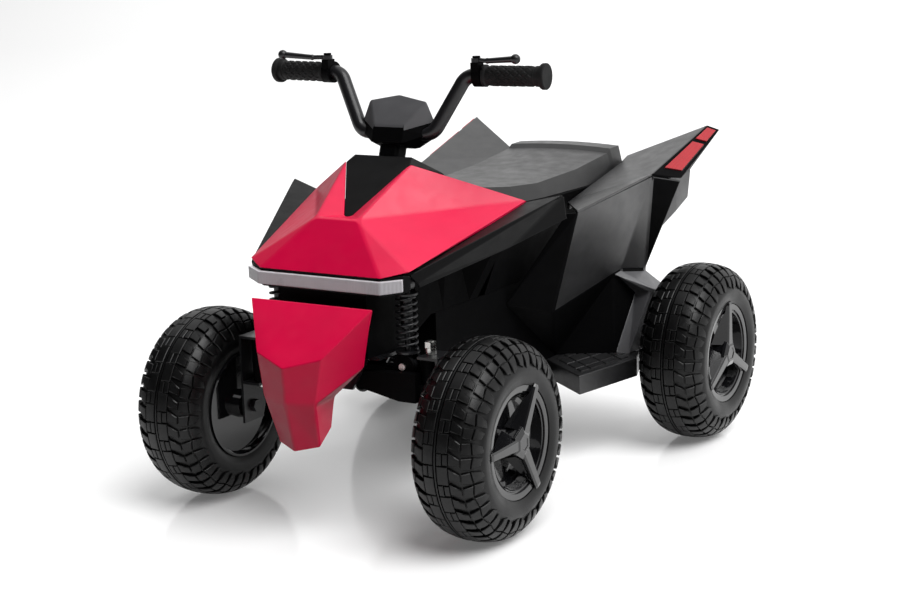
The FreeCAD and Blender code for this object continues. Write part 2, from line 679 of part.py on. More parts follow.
def make_core():
    core = hollow(CORE_SECTIONS, WALL, 5 * WALL)
    shelf_low = SHOCK_HIGH_Z + SHOCK_EYE_RADIUS + SHELF_RISE
    y0, y1 = FRONT_AXLE_Y - SHELF_HALF, FRONT_AXLE_Y + SHELF_HALF
    lug_y = SHOCK_EYE_WIDTH / 2 + RUN
    lug_end = lug_y + SHOCK_CHEEK
    lug_low = SHOCK_HIGH_Z - LUG_HALF + 1
    for side in (1, -1):
        xs = sorted((side * SHELF_IN, side * (SHOCK_X + LUG_HALF + 1)))
        pieces = [box(xs[0], xs[1], y0, y1, shelf_low, shelf_low + WALL)]
        lug_xs = sorted((side * (SHOCK_X - LUG_HALF), side * (SHOCK_X + LUG_HALF)))
        for a, b in ((-lug_end, -lug_y), (lug_y, lug_end)):
            pieces.append(box(lug_xs[0], lug_xs[1], FRONT_AXLE_Y + a, FRONT_AXLE_Y + b, lug_low, shelf_low))
        for piece in pieces:
            core = core.fuse(piece)
        x = side * SHOCK_X
        core = core.cut(along_y(x, -SHELF_HALF, SHELF_HALF, SHOCK_HIGH_Z, SHOCK_PIN_RADIUS + FIT))
    return core.cut(rod(column_point(TUB_TOP), column_point(COLUMN_TOP_Z), COLUMN_RADIUS + BUSH_WALL - 1))


def make_tub():
    """Closed floor tub, open on top along the spine, where the core stands on its walls."""
    tub = hollow([(y, half, half, low, high) for y, half, low, high in TUB_STATIONS], WALL, -WALL)
    y0, y1 = TUB_STATIONS[0][0] + WALL, TUB_STATIONS[3][0]
    half = TUB_HALF_WIDTH - WALL
    tub = tub.cut(box(-half, half, y0, y1, TUB_DECK, TUB_TOP + WALL))
    for side in (1, -1):
        start = rear(side * (TUB_REAR_HALF - 2 * WALL), 0, AXLE_Z)
        end = rear(side * (TUB_REAR_HALF + WALL), 0, AXLE_Z)
        tub = tub.cut(rod(start, end, AXLE_RADIUS + FIT))
    return tub


def make_footboard():
    low = BOARD_TOP - BOARD_DEPTH
    points = [rear(x, y, low) for x, y in BOARD_PLAN]
    plan = Part.Face(Part.makePolygon(points + [points[0]]))
    board = plan.extrude(Z_AXIS * BOARD_DEPTH)
    return board.cut(plan.makeOffset2D(-WALL).extrude(Z_AXIS * (BOARD_DEPTH - WALL)))


def make_tail_box():
    shell = hollow([(REAR_AXLE_Y + y, *station) for y, *station in TAIL_STATIONS], WALL, -WALL)
    half = DECK["inner_low_rear"].x + PANEL + SEAM
    end = REAR_AXLE_Y + TAIL_STATIONS[1][0] + SEAM
    return shell.cut(box(-half, half, REAR_AXLE_Y, end, TUB_TOP, SEAT_BASE_Z + PANEL * 10))


def bent_tube(points, radius, bend):
    """Round tube through points, with an arc of radius bend at each inner point."""
    edges = []
    start = points[0]
    for before, corner, after in zip(points, points[1:], points[2:]):
        back = (before - corner).normalize()
        ahead = (after - corner).normalize()
        half = back.getAngle(ahead) / 2
        reach = bend / math.tan(half)
        middle = corner + (back + ahead).normalize() * (bend / math.sin(half) - bend)
        edges.append(Part.makeLine(start, corner + back * reach))
        edges.append(Part.Arc(corner + back * reach, middle, corner + ahead * reach).toShape())
        start = corner + ahead * reach
    edges.append(Part.makeLine(start, points[-1]))
    ring = Part.Wire(Part.makeCircle(radius, points[0], points[1] - points[0]))
    return Part.Wire(edges).makePipeShell([ring], True, False)


def bar_path():
    """Handlebar centre line from end to end."""
    bend = front(BAR_BEND_X, COLUMN_TOP_Y + 7, COLUMN_TOP_Z + 6)
    rise = front(BAR_RISE_X, COLUMN_TOP_Y + 28.5, BAR_TOP_Z)
    end = front(BAR_HALF_WIDTH - GRIP_FLANGE, COLUMN_TOP_Y + 40.5, BAR_TOP_Z)
    return [flip(end), flip(rise), flip(bend), bend, rise, end]


def make_handlebar():
    tube = bent_tube(bar_path(), BAR_RADIUS, BAR_BEND)
    return tube.cut(bent_tube(bar_path(), BAR_RADIUS - BAR_WALL, BAR_BEND))


def bar_frame(reach):
    """Point on the left grip run at a given x, and the run's direction."""
    rise, end = bar_path()[4:]
    way = (end - rise).normalize()
    return rise + way * ((reach - rise.x) / way.x), way


def make_grip():
    inner, way = bar_frame(BAR_HALF_WIDTH - GRIP_FLANGE - GRIP_LENGTH)
    end, way = bar_frame(BAR_HALF_WIDTH - GRIP_FLANGE)
    grip = rod(inner, end, GRIP_RADIUS)
    grip = grip.fuse(rod(end - way, end + way * (GRIP_FLANGE - 1), GRIP_FLANGE_RADIUS))
    return grip.cut(rod(inner - way, end + way * FIT, BAR_RADIUS + FIT)).removeSplitter()


def lever_pivot():
    centre, way = bar_frame(CLAMP_X)
    return centre + Vector(0, -LEVER_PIVOT_FRONT, LEVER_PIVOT_LIFT)


def make_lever_clamp():
    centre, way = bar_frame(CLAMP_X)
    clamp = Part.makeCylinder(CLAMP_RADIUS, CLAMP_LENGTH, centre - way * (CLAMP_LENGTH / 2), way)
    pivot = lever_pivot()
    base = pivot.z - LEVER_THICKNESS / 2 - RUN
    half = CLAMP_LENGTH / 2 - SEAM
    clamp = clamp.fuse(box(pivot.x - half, pivot.x + half, pivot.y - 8, pivot.y + 10, centre.z + 6, base))
    foot = Vector(pivot.x, pivot.y, base)
    top = foot + Z_AXIS * (LEVER_THICKNESS + 2 * RUN)
    cap_top = top + Z_AXIS * LEVER_PIVOT_RADIUS
    clamp = clamp.fuse(rod(foot - Z_AXIS, cap_top, LEVER_PIVOT_RADIUS))
    clamp = clamp.fuse(rod(top, cap_top, 2 * LEVER_PIVOT_RADIUS))
    bore = Part.makeCylinder(BAR_RADIUS + FIT, CLAMP_LENGTH + 20, centre - way * (CLAMP_LENGTH / 2 + 10), way)
    return clamp.cut(bore).removeSplitter()


def make_lever():
    pivot = lever_pivot()
    grip = bar_frame(LEVER_BALL_X)[0]
    ball = grip + Vector(0, -LEVER_BALL_FRONT, LEVER_BALL_RISE)
    knee = pivot + Vector(3 * LEVER_EYE_RADIUS, -LEVER_EYE_RADIUS, 0)
    base = pivot - Z_AXIS * (LEVER_THICKNESS / 2)
    eye = Part.makeCylinder(LEVER_EYE_RADIUS, LEVER_THICKNESS, base, Z_AXIS)
    eye = eye.cut(Part.makeCylinder(LEVER_PIVOT_RADIUS + FIT, LEVER_THICKNESS, base, Z_AXIS))
    neck_start = pivot + (knee - pivot).normalize() * (LEVER_EYE_RADIUS - 1)
    lever = eye.fuse(rod(neck_start, knee, LEVER_RADIUS - 1.5))
    lever = lever.fuse(Part.makeSphere(LEVER_RADIUS - 0.5, knee))
    lever = lever.fuse(Part.makeCone(LEVER_RADIUS - 1, LEVER_RADIUS, (ball - knee).Length, knee, ball - knee))
    return lever.fuse(Part.makeSphere(LEVER_BALL_RADIUS, ball))


def make_pod():
    left = [("jaw", "ear", "brow"), ("jaw", "brow", "crown"), ("jaw", "low_front", "ear"),
            ("jaw", "chin", "low_front"), ("ear", "low_front", "low_back"), ("ear", "low_back", "back"),
            ("low_front", "chin", "heel"), ("low_front", "heel", "low_back"), ("low_back", "heel", "back"),
            ("ear", "back", "brow"), ("brow", "back", "crown")]
    triangles = both_sides(POD, left)
    triangles += [("jaw_r", "jaw", "crown"), ("chin_r", "chin", "jaw"), ("chin_r", "jaw", "jaw_r"),
                  ("heel_r", "heel", "chin"), ("heel_r", "chin", "chin_r"), ("back_r", "crown", "back"),
                  ("heel", "heel_r", "back_r"), ("heel", "back_r", "back")]
    both = with_right(POD)
    pod = polyhedron([(both[a], both[b], both[c]) for a, b, c in triangles])
    pod = pod.cut(bent_tube(bar_path(), BAR_RADIUS + FIT, BAR_BEND))
    return pod.cut(rod(column_point(STEM_LOW_Z), column_point(COLUMN_TOP_Z), COLUMN_RADIUS + FIT))


def make_stem():
    """Square sleeve round the column, between the hood insert and the pod."""
    high_z = POD_FOOT_Z - SEAM
    length = (high_z - STEM_LOW_Z) / math.cos(RAKE)
    stem = box(-STEM_HALF_WIDTH, STEM_HALF_WIDTH, -STEM_HALF_DEPTH, STEM_HALF_DEPTH, 0, length)
    upright = [edge for edge in stem.Edges if abs(edge.tangentAt(edge.FirstParameter).z) > 0.9]
    stem = stem.makeChamfer(STEM_CHAMFER, upright)
    stem.rotate(ORIGIN, X_AXIS, -COLUMN_RAKE)
    stem.translate(column_point(STEM_LOW_Z))
    bore = rod(column_point(STEM_LOW_Z - WALL), column_point(high_z + WALL), COLUMN_RADIUS + FIT)
    return stem.cut(bore)


def make_column():
    crank_base = column_point(CRANK_Z)
    column = rod(crank_base, column_point(COLUMN_TOP_Z - 4), COLUMN_RADIUS)
    column = column.fuse(rod(column_point(CRANK_Z - SPIGOT_LENGTH), crank_base, COLUMN_SPIGOT_RADIUS))
    back = Vector(0, math.cos(RAKE), -math.sin(RAKE))
    plate_normal = COLUMN_AXIS
    corners = [crank_base + X_AXIS * x + back * y
               for x, y in ((-14, -10), (14, -10), (30, STEER_ARM_Y + 8), (-30, STEER_ARM_Y + 8))]
    plate = Part.Face(Part.makePolygon(corners + [corners[0]])).extrude(plate_normal * CRANK_PLATE)
    column = column.fuse(plate)
    for x in (STEER_ARM_X, -STEER_ARM_X):
        pin = crank_pin(x)
        foot = pin - Z_AXIS * (TIE_EYE_HEIGHT / 2 + CRANK_PIN_RADIUS)
        column = column.fuse(rod(foot, pin + Z_AXIS * CRANK_PIN_RISE, CRANK_PIN_RADIUS))
    return column.removeSplitter()


def crank_pin(x):
    """Centre of a tie rod's inner eye at rest: level with the arm pivot, behind the steering axis."""
    base = column_point(ARM_PIVOT_Z + STEER_ARM_Y * math.sin(RAKE))
    return Vector(x, base.y + STEER_ARM_Y * math.cos(RAKE), ARM_PIVOT_Z)


def knuckle_pin():
    return Vector(KINGPIN_X + STEER_ARM_X, FRONT_AXLE_Y + STEER_ARM_Y, ARM_PIVOT_Z)


def make_tie_rod():
    inner, outer = crank_pin(STEER_ARM_X), knuckle_pin()
    half = Z_AXIS * (TIE_EYE_HEIGHT / 2)
    tie = rod(inner, outer, TIE_ROD_RADIUS)
    for centre in (inner, outer):
        tie = tie.fuse(rod(centre - half, centre + half, TIE_EYE_RADIUS))
    for centre, radius in ((inner, CRANK_PIN_RADIUS + TIE_OPEN_CLEARANCE), (outer, TIE_PIN_RADIUS + FIT)):
        tie = tie.cut(rod(centre - half * 2, centre + half * 2, radius))
    return tie.removeSplitter()


def make_column_bush():
    """Flanged upper bush of the column, moulded into the core's roof."""
    low = column_point(BUSH_LOW_Z)
    outer = COLUMN_RADIUS + BUSH_WALL
    bush = Part.makeCylinder(outer, BUSH_LENGTH, low, COLUMN_AXIS)
    lip = low + COLUMN_AXIS * BUSH_LENGTH
    end = lip + COLUMN_AXIS * BUSH_FLANGE
    bush = bush.fuse(rod(lip, end, outer + BUSH_FLANGE))
    return bush.cut(rod(low - COLUMN_AXIS, end + COLUMN_AXIS, COLUMN_RADIUS + FIT))


def make_subframe():
    f = FRONT_AXLE_Y
    low = ARM_PIVOT_Z - ARM_EYE_RADIUS - SUBFRAME_MARGIN
    half = SUBFRAME_HALF_WIDTH
    narrow = ARM_PIVOT_X + ARM_EYE_RADIUS + SUBFRAME_MARGIN
    top = SUBFRAME_TOP_HALF
    frame = box(-top, top, f - SUBFRAME_FRONT, f + SUBFRAME_REAR, SUBFRAME_TOP - SUBFRAME_PLATE, SUBFRAME_TOP)
    outline = [(-half, SUBFRAME_TOP), (half, SUBFRAME_TOP), (narrow, low), (-narrow, low)]
    for y in (-SUBFRAME_FRONT, SUBFRAME_REAR - SUBFRAME_PLATE):
        frame = frame.fuse(prism_y(outline, f + y, f + y + SUBFRAME_PLATE))
    for x in (ARM_PIVOT_X, -ARM_PIVOT_X):
        bore = along_y(x, -SUBFRAME_FRONT - 1, SUBFRAME_REAR + 1, ARM_PIVOT_Z, ARM_PIVOT_RADIUS + FIT)
        frame = frame.cut(bore)
    boss_low = column_point(CRANK_Z - SPIGOT_LENGTH + 1)
    boss_high = boss_low + COLUMN_AXIS * SPIGOT_BOSS
    frame = frame.fuse(rod(boss_low, boss_high, 2 * COLUMN_SPIGOT_RADIUS))
    web = SPIGOT_WEB / 2
    web_high = boss_low.z + SPIGOT_BOSS / 2
    frame = frame.fuse(box(-web, web, f + SUBFRAME_REAR - 1, boss_low.y, boss_low.z, web_high))
    bore = rod(boss_low - COLUMN_AXIS * SPIGOT_BOSS, boss_high + COLUMN_AXIS, COLUMN_SPIGOT_RADIUS + FIT)
    frame = frame.cut(bore)
    ring_y = SUBFRAME_REAR + RING_RADIUS - RING_WIRE
    ring = Part.makeTorus(RING_RADIUS, RING_WIRE, front(0, ring_y, low - RING_RADIUS), Y_AXIS)
    tab_half = RING_RADIUS - RING_WIRE
    tab_end = f + ring_y + RING_WIRE + 1
    tab = box(-tab_half, tab_half, f + SUBFRAME_REAR - 1, tab_end, low - 1, low + SUBFRAME_MARGIN)
    return frame.fuse(tab).fuse(ring).removeSplitter()


def prism_y(points, y0, y1):
    corners = [Vector(x, y0, z) for x, z in points]
    return Part.Face(Part.makePolygon(corners + [corners[0]])).extrude(Vector(0, y1 - y0, 0))


def make_swing_arm():
    f = FRONT_AXLE_Y
    middle = (KINGPIN_BOSS_LOW + KINGPIN_BOSS_HIGH) / 2
    leg_end = KINGPIN_X - KINGPIN_BOSS_RADIUS + ARM_MARGIN
    leg_low = KINGPIN_BOSS_LOW + ARM_MARGIN / 2
    leg_high = middle + ARM_EYE_RADIUS
    outline = [(ARM_PIVOT_X, ARM_PIVOT_Z - ARM_NECK), (ARM_PIVOT_X, ARM_PIVOT_Z + ARM_NECK),
               (SHOCK_X, leg_high), (leg_end, leg_high), (leg_end, leg_low), (SHOCK_X, leg_low)]
    arm = upright(KINGPIN_X, KINGPIN_BOSS_LOW, KINGPIN_BOSS_HIGH, KINGPIN_BOSS_RADIUS)
    arm = arm.fuse(box(SHOCK_X - ARM_LEG_SPREAD, KINGPIN_X, f - ARM_LEG_SPREAD, f + ARM_LEG_SPREAD, leg_low,
                       middle - ARM_MARGIN))
    for y in (-ARM_LEG_SPREAD - ARM_LEG_WIDTH / 2, ARM_LEG_SPREAD - ARM_LEG_WIDTH / 2):
        arm = arm.fuse(prism_y(outline, f + y, f + y + ARM_LEG_WIDTH))
        arm = arm.fuse(along_y(ARM_PIVOT_X, y, y + ARM_LEG_WIDTH, ARM_PIVOT_Z, ARM_EYE_RADIUS))
    cheek = SHOCK_EYE_WIDTH / 2 + RUN
    for y in (-cheek - SHOCK_CHEEK, cheek):
        arm = arm.fuse(along_y(SHOCK_X, y, y + SHOCK_CHEEK, SHOCK_LOW_Z, SHOCK_CHEEK_RADIUS))
    arm = arm.cut(along_y(SHOCK_X, -cheek, cheek, SHOCK_LOW_Z, SHOCK_EYE_RADIUS + ARM_MARGIN / 2))
    arm = arm.cut(upright(KINGPIN_X, KINGPIN_BOSS_LOW - 1, KINGPIN_BOSS_HIGH + 1, KINGPIN_RADIUS + FIT))
    reach = ARM_LEG_SPREAD + ARM_LEG_WIDTH
    arm = arm.cut(along_y(ARM_PIVOT_X, -reach, reach, ARM_PIVOT_Z, ARM_PIVOT_RADIUS + FIT))
    return arm.cut(along_y(SHOCK_X, -reach, reach, SHOCK_LOW_Z, SHOCK_PIN_RADIUS + FIT)).removeSplitter()


def make_shock_pin(z):
    reach = SHOCK_EYE_WIDTH / 2 + RUN + SHOCK_CHEEK
    pin = along_y(SHOCK_X, -reach, reach, z, SHOCK_PIN_RADIUS)
    return pin.fuse(along_y(SHOCK_X, -reach - SHOCK_PIN_HEAD, -reach, z, SHOCK_PIN_HEAD_RADIUS))


def shock_eye(z):
    half = SHOCK_EYE_WIDTH / 2
    return along_y(SHOCK_X, -half, half, z, SHOCK_EYE_RADIUS)


def shock_bore(z):
    return along_y(SHOCK_X, -SHOCK_EYE_WIDTH, SHOCK_EYE_WIDTH, z, SHOCK_PIN_RADIUS + FIT)


def make_shock_body():
    high = SPRING_HIGH_Z
    body = shock_eye(SHOCK_HIGH_Z).fuse(upright(SHOCK_X, high, SHOCK_HIGH_Z, SHOCK_NECK_RADIUS))
    body = body.fuse(upright(SHOCK_X, high, high + SPRING_SEAT, SPRING_SEAT_RADIUS))
    body = body.fuse(upright(SHOCK_X, high - DAMPER_LENGTH, high, DAMPER_RADIUS))
    bore = DAMPER_ROD_RADIUS + DAMPER_BORE_CLEARANCE
    body = body.cut(upright(SHOCK_X, high - DAMPER_LENGTH - 1, high - SHOCK_CHEEK, bore))
    return body.cut(shock_bore(SHOCK_HIGH_Z)).removeSplitter()


def make_shock_rod():
    low = SPRING_LOW_Z
    shaft = shock_eye(SHOCK_LOW_Z).fuse(upright(SHOCK_X, SHOCK_LOW_Z, low, SHOCK_NECK_RADIUS))
    shaft = shaft.fuse(upright(SHOCK_X, low - SPRING_SEAT, low, SPRING_SEAT_RADIUS))
    shaft = shaft.fuse(upright(SHOCK_X, low, SPRING_HIGH_Z - DAMPER_LENGTH / 2, DAMPER_ROD_RADIUS))
    return shaft.cut(shock_bore(SHOCK_LOW_Z)).removeSplitter()


def make_spring():
    """One tube wound round the damper, with short straight ends on its two seats."""
    low = SPRING_LOW_Z + SPRING_WIRE / 2 + SPRING_END_ROOM
    high = SPRING_HIGH_Z - SPRING_WIRE / 2 - SPRING_END_ROOM
    pitch = (high - low) / SPRING_TURNS
    centre = front(SHOCK_X, 0, 0)

    def on_helix(turns):
        angle = 2 * math.pi * turns
        across = Vector(math.cos(angle), math.sin(angle), 0) * SPRING_RADIUS
        return centre + across + Z_AXIS * (low + pitch * turns)

    def tangent(turns):
        angle = 2 * math.pi * turns
        run = 2 * math.pi * SPRING_RADIUS
        return Vector(-run * math.sin(angle), run * math.cos(angle), pitch).normalize()

    edges = []
    steps = SPRING_TURNS * 4
    ends = [on_helix(0) - tangent(0) * SPRING_WIRE,
            on_helix(SPRING_TURNS) + tangent(SPRING_TURNS) * SPRING_WIRE]
    edges.append(Part.makeLine(ends[0], on_helix(0)))
    for i in range(steps):
        edges += biarc(on_helix(i / 4), tangent(i / 4), on_helix((i + 1) / 4), tangent((i + 1) / 4))
    edges.append(Part.makeLine(on_helix(SPRING_TURNS), ends[1]))
    ring = Part.Wire(Part.makeCircle(SPRING_WIRE / 2, ends[0], tangent(0)))
    spring = Part.Wire(edges).makePipeShell([ring], True, False)
    samples = [on_helix(i / 24) for i in range(SPRING_TURNS * 24 + 1)]
    least = min((a - b).Length for i, a in enumerate(samples) for b in samples[i + 12:])
    print("least gap of the spring to itself:", round(least - SPRING_WIRE, 3))
    length = sum(edge.Length for edge in edges)
    section = math.pi * SPRING_WIRE ** 2 / 4
    print("spring volume over section times length:", round(spring.Volume / (section * length), 4))
    return spring


def biarc(start, way_start, end, way_end):
    """Two arcs, tangent to each other, from one point and direction to another."""
    chord = end - start
    ways = way_start + way_end
    a = 2 * (1 - way_start.dot(way_end))
    b = 2 * chord.dot(ways)
    c = -chord.dot(chord)
    reach = (-b + math.sqrt(b * b - 4 * a * c)) / (2 * a)
    joint = (start + way_start * reach + end - way_end * reach) * 0.5
    arcs = []
    for point, way, other in ((start, way_start, joint), (end, way_end * -1, joint)):
        corner = point + way * reach
        half = (point - corner).getAngle(other - corner) / 2
        radius = reach * math.tan(half)
        towards = ((point - corner).normalize() + (other - corner).normalize()).normalize()
        middle = corner + towards * (radius / math.sin(half) - radius)
        arcs.append((point, middle, other))
    first = Part.Arc(*arcs[0]).toShape()
    last = Part.Arc(*arcs[1][::-1]).toShape()
    return [first, last]


def make_knuckle():
    f = FRONT_AXLE_Y
    top = KINGPIN_BOSS_HIGH + RUN
    low = KINGPIN_BOSS_LOW - RUN
    w = KNUCKLE_HALF_WIDTH
    x0 = KINGPIN_X - KNUCKLE_INSET
    side = KNUCKLE_SIDE_X
    knuckle = box(x0, side + KNUCKLE_PLATE, f - w, f + w, top, top + KNUCKLE_PLATE)
    knuckle = knuckle.fuse(box(x0, side + KNUCKLE_PLATE, f - w, f + w, low - KNUCKLE_PLATE, low))
    knuckle = knuckle.fuse(box(side, side + KNUCKLE_PLATE, f - w, f + w, AXLE_Z - w, top + KNUCKLE_PLATE))
    pin = knuckle_pin()
    lever_high = pin.z - TIE_EYE_HEIGHT / 2 - RUN
    lever_low = lever_high - STEER_LEVER
    lever = box(pin.x - 2 * STEER_LEVER, side + KNUCKLE_PLATE, f + w - KNUCKLE_PLATE, pin.y + TIE_EYE_RADIUS,
                lever_low, lever_high)
    post_foot = Vector(pin.x, pin.y, lever_low + 1)
    knuckle = knuckle.fuse(lever).fuse(rod(post_foot, pin + Z_AXIS * TIE_EYE_HEIGHT, TIE_PIN_RADIUS))
    wheel_x = FRONT_TRACK / 2
    stub_end = wheel_x + HUB_OUTER + RUN + NUT_HEIGHT + AXLE_PROUD
    stub_start = side - NUT_HEIGHT / 2
    knuckle = knuckle.fuse(rod(front(stub_start, 0, AXLE_Z), front(stub_end, 0, AXLE_Z), AXLE_RADIUS))
    knuckle = knuckle.fuse(hexagon(side - NUT_HEIGHT, side, FRONT_AXLE_Y))
    collar_end = wheel_x - HUB_INNER - RUN
    knuckle = knuckle.fuse(rod(front(side, 0, AXLE_Z), front(collar_end, 0, AXLE_Z), COLLAR_RADIUS))
    for z in (top - 1, low - KNUCKLE_PLATE - 1):
        knuckle = knuckle.cut(upright(KINGPIN_X, z, z + KNUCKLE_PLATE + 2, KINGPIN_RADIUS + FIT))
    return knuckle.removeSplitter()


def hexagon(x0, x1, y):
    """Hexagon nut or bolt head round an axle along X."""
    corners = []
    for i in range(6):
        angle = i * math.pi / 3
        corners.append(Vector(x0, y + NUT_RADIUS * math.cos(angle), AXLE_Z + NUT_RADIUS * math.sin(angle)))
    return Part.Face(Part.makePolygon(corners + [corners[0]])).extrude(Vector(x1 - x0, 0, 0))


def make_axle_nut(wheel_x, y):
    x0 = wheel_x + HUB_OUTER + RUN
    nut = hexagon(x0, x0 + NUT_HEIGHT, y)
    return nut.cut(rod(Vector(x0 - 1, y, AXLE_Z), Vector(x0 + NUT_HEIGHT + 1, y, AXLE_Z), AXLE_RADIUS + FIT))


def make_kingpin():
    """Kingpin bolt: head under the knuckle, shiny nut on a spacer above it."""
    top = KINGPIN_BOSS_HIGH + RUN + KNUCKLE_PLATE
    low = KINGPIN_BOSS_LOW - RUN - KNUCKLE_PLATE
    nut_low = top + KINGPIN_SPACER
    pin = upright(KINGPIN_X, low - KINGPIN_HEAD, nut_low + 2 * KINGPIN_RADIUS, KINGPIN_RADIUS)
    head = upright(KINGPIN_X, low - KINGPIN_HEAD - RUN, low - RUN, KINGPIN_NUT_RADIUS)
    corners = []
    for i in range(6):
        angle = i * math.pi / 3
        across = Vector(math.cos(angle), math.sin(angle), 0) * KINGPIN_NUT_RADIUS
        corners.append(front(KINGPIN_X, 0, nut_low) + across)
    nut = Part.Face(Part.makePolygon(corners + [corners[0]])).extrude(Z_AXIS * KINGPIN_NUT_RADIUS)
    spacer = upright(KINGPIN_X, top + RUN, nut_low, KINGPIN_SPACER_RADIUS)
    return pin.fuse(head).fuse(nut).fuse(spacer).removeSplitter()


def tyre_profile():
    """Half the tyre's outside: crown, shoulder and side wall, as (offset, radius) pairs."""
    half = TYRE_WIDTH / 2
    crown = [(half * part, TYRE_RADIUS - drop) for part, drop in TYRE_CROWN]
    return crown + [(half * 0.985, RIM_RADIUS + TYRE_BEAD), (half * 0.93, RIM_RADIUS + SEAM)]


def tyre_hollow():
    """Half the space inside the tyre, open towards the rim between the beads."""
    half = TYRE_WIDTH / 2 - TYRE_WALL
    crown = TYRE_RADIUS - TREAD_GROOVE_DEPTH - TYRE_WALL
    bead = RIM_RADIUS + TYRE_BEAD
    inside = [(half * part, crown - drop) for part, drop in TYRE_CROWN_INSIDE]
    return inside + [(half * 0.93, bead), (half * 0.76, bead), (half * 0.76, RIM_RADIUS - 1)]


def both_halves(right):
    """Full profile from its half with positive offsets."""
    return right + [(-offset, radius) for offset, radius in right[::-1] if offset > 0]


def make_tyre(x, y):
    centre = Vector(x, y, AXLE_Z)
    tyre = revolve_x(both_halves(tyre_profile()), centre)
    tyre = tyre.cut(revolve_x(both_halves(tyre_hollow()), centre))
    half = TREAD_GROOVE_WIDTH / 2
    over = TYRE_RADIUS + 2
    bed = TYRE_RADIUS - 1 - TREAD_GROOVE_DEPTH
    for offset in (-TREAD_GROOVE_OFFSET, TREAD_GROOVE_OFFSET):
        cut = [(offset - half, over), (offset + half, over), (offset + half, bed), (offset - half, bed)]
        tyre = tyre.cut(revolve_x(cut, centre))
    return tyre


def make_rim(x, y, side):
    """Dished rim: barrel, web and hub; side is 1 where its face points to +X."""
    inner = RIM_RADIUS - RIM_WALL
    web = RIM_WEB_OFFSET + RIM_WEB
    back = -RIM_BACK_OFFSET - RIM_BACK
    bore = AXLE_RADIUS + FIT
    profile = [(-RIM_FACE_OFFSET, RIM_RADIUS), (RIM_FACE_OFFSET, RIM_RADIUS), (RIM_FACE_OFFSET, inner),
               (web, inner - RIM_LEDGE), (web, HUB_RADIUS), (HUB_OUTER, HUB_RADIUS), (HUB_OUTER, bore),
               (-HUB_INNER, bore), (-HUB_INNER, HUB_RADIUS), (back, HUB_RADIUS), (back, inner),
               (-RIM_FACE_OFFSET, inner)]
    rim = revolve_x([(side * offset, radius) for offset, radius in profile], Vector(x, y, AXLE_Z))
    core = [(-RIM_BACK_OFFSET, HUB_RADIUS), (-RIM_BACK_OFFSET, inner), (RIM_WEB_OFFSET, inner - RIM_LEDGE),
            (RIM_WEB_OFFSET, HUB_RADIUS)]
    rim = rim.cut(revolve_x([(side * offset, radius) for offset, radius in core], Vector(x, y, AXLE_Z)))
    return rim.removeSplitter()


def make_hub_cap(x, y, side, turn):
    """Three-spoke cover, with a pocket over the axle nut and feet on the rim's web."""
    back, face = CAP_BACK_OFFSET, CAP_FRONT_OFFSET
    cap = Part.makeCylinder(CAP_HUB_RADIUS, face - back, Vector(back, 0, 0), X_AXIS)
    cap = cap.fuse(rod(X_AXIS * (HUB_OUTER + RUN), X_AXIS * back, HUB_RADIUS - 1))
    rim_edge = RIM_FACE_OFFSET + RUN
    shoulder = SPOKE_REACH - CAP_EDGE
    for i in range(SPOKE_COUNT):
        root, tip = SPOKE_ROOT_WIDTH / 2, SPOKE_TIP_WIDTH / 2
        corners = [Vector(rim_edge, -root, 10), Vector(rim_edge, root, 10),
                   Vector(rim_edge, tip, shoulder), Vector(rim_edge, -tip, shoulder)]
        spoke = Part.Face(Part.makePolygon(corners + [corners[0]])).extrude(X_AXIS * (face - rim_edge - 1.5))
        spoke.rotate(ORIGIN, X_AXIS, turn + 360 * i / SPOKE_COUNT)
        cap = cap.fuse(spoke)
    cap = cap.cut(Part.makeCylinder(CAP_POCKET_RADIUS, face - 4, Vector(0, 0, 0), X_AXIS))
    cap = cap.removeSplitter()
    if side < 0:
        cap = mirrored(cap)
    cap.translate(Vector(x, y, AXLE_Z))
    return cap


def make_rear_axle():
    wheel_x = REAR_TRACK / 2
    end = wheel_x + HUB_OUTER + RUN + NUT_HEIGHT + AXLE_PROUD
    axle = rod(rear(-end, 0, AXLE_Z), rear(end, 0, AXLE_Z), AXLE_RADIUS)
    collar_end = wheel_x - HUB_INNER - RUN
    collar_start = GEARBOX_OUT + RUN
    for side in (1, -1):
        inner, outer = (rear(side * x, 0, AXLE_Z) for x in (collar_start, collar_end))
        axle = axle.fuse(rod(inner, outer, COLLAR_RADIUS))
    nut = make_axle_nut(wheel_x, REAR_AXLE_Y)
    return [axle, nut, mirrored(nut)]


def make_gearboxes():
    """Sealed gearboxes beside the tub, each with its motor bolted on behind."""
    y = REAR_AXLE_Y
    inner = GEARBOX_OUT - GEARBOX_RISE / 4
    case = Part.makeCylinder(GEARBOX_RADIUS, GEARBOX_OUT - GEARBOX_IN, rear(GEARBOX_IN, 0, AXLE_Z), X_AXIS)
    case = case.fuse(box(GEARBOX_IN, inner, y, y + GEARBOX_BACK, AXLE_Z, AXLE_Z + GEARBOX_RISE))
    bore = rod(rear(GEARBOX_IN - 1, 0, AXLE_Z), rear(GEARBOX_OUT + 1, 0, AXLE_Z), AXLE_RADIUS + FIT)
    case = case.cut(bore).removeSplitter()
    motor_at = rear((GEARBOX_IN + inner) / 2, GEARBOX_BACK, AXLE_Z + MOTOR_RISE)
    motor_end = motor_at + Y_AXIS * MOTOR_LENGTH
    motor = rod(motor_at, motor_end, MOTOR_RADIUS)
    motor = motor.fuse(rod(motor_end, motor_end + Y_AXIS * MOTOR_BOSS, MOTOR_BOSS_RADIUS))
    return [case, motor, mirrored(case), mirrored(motor)]


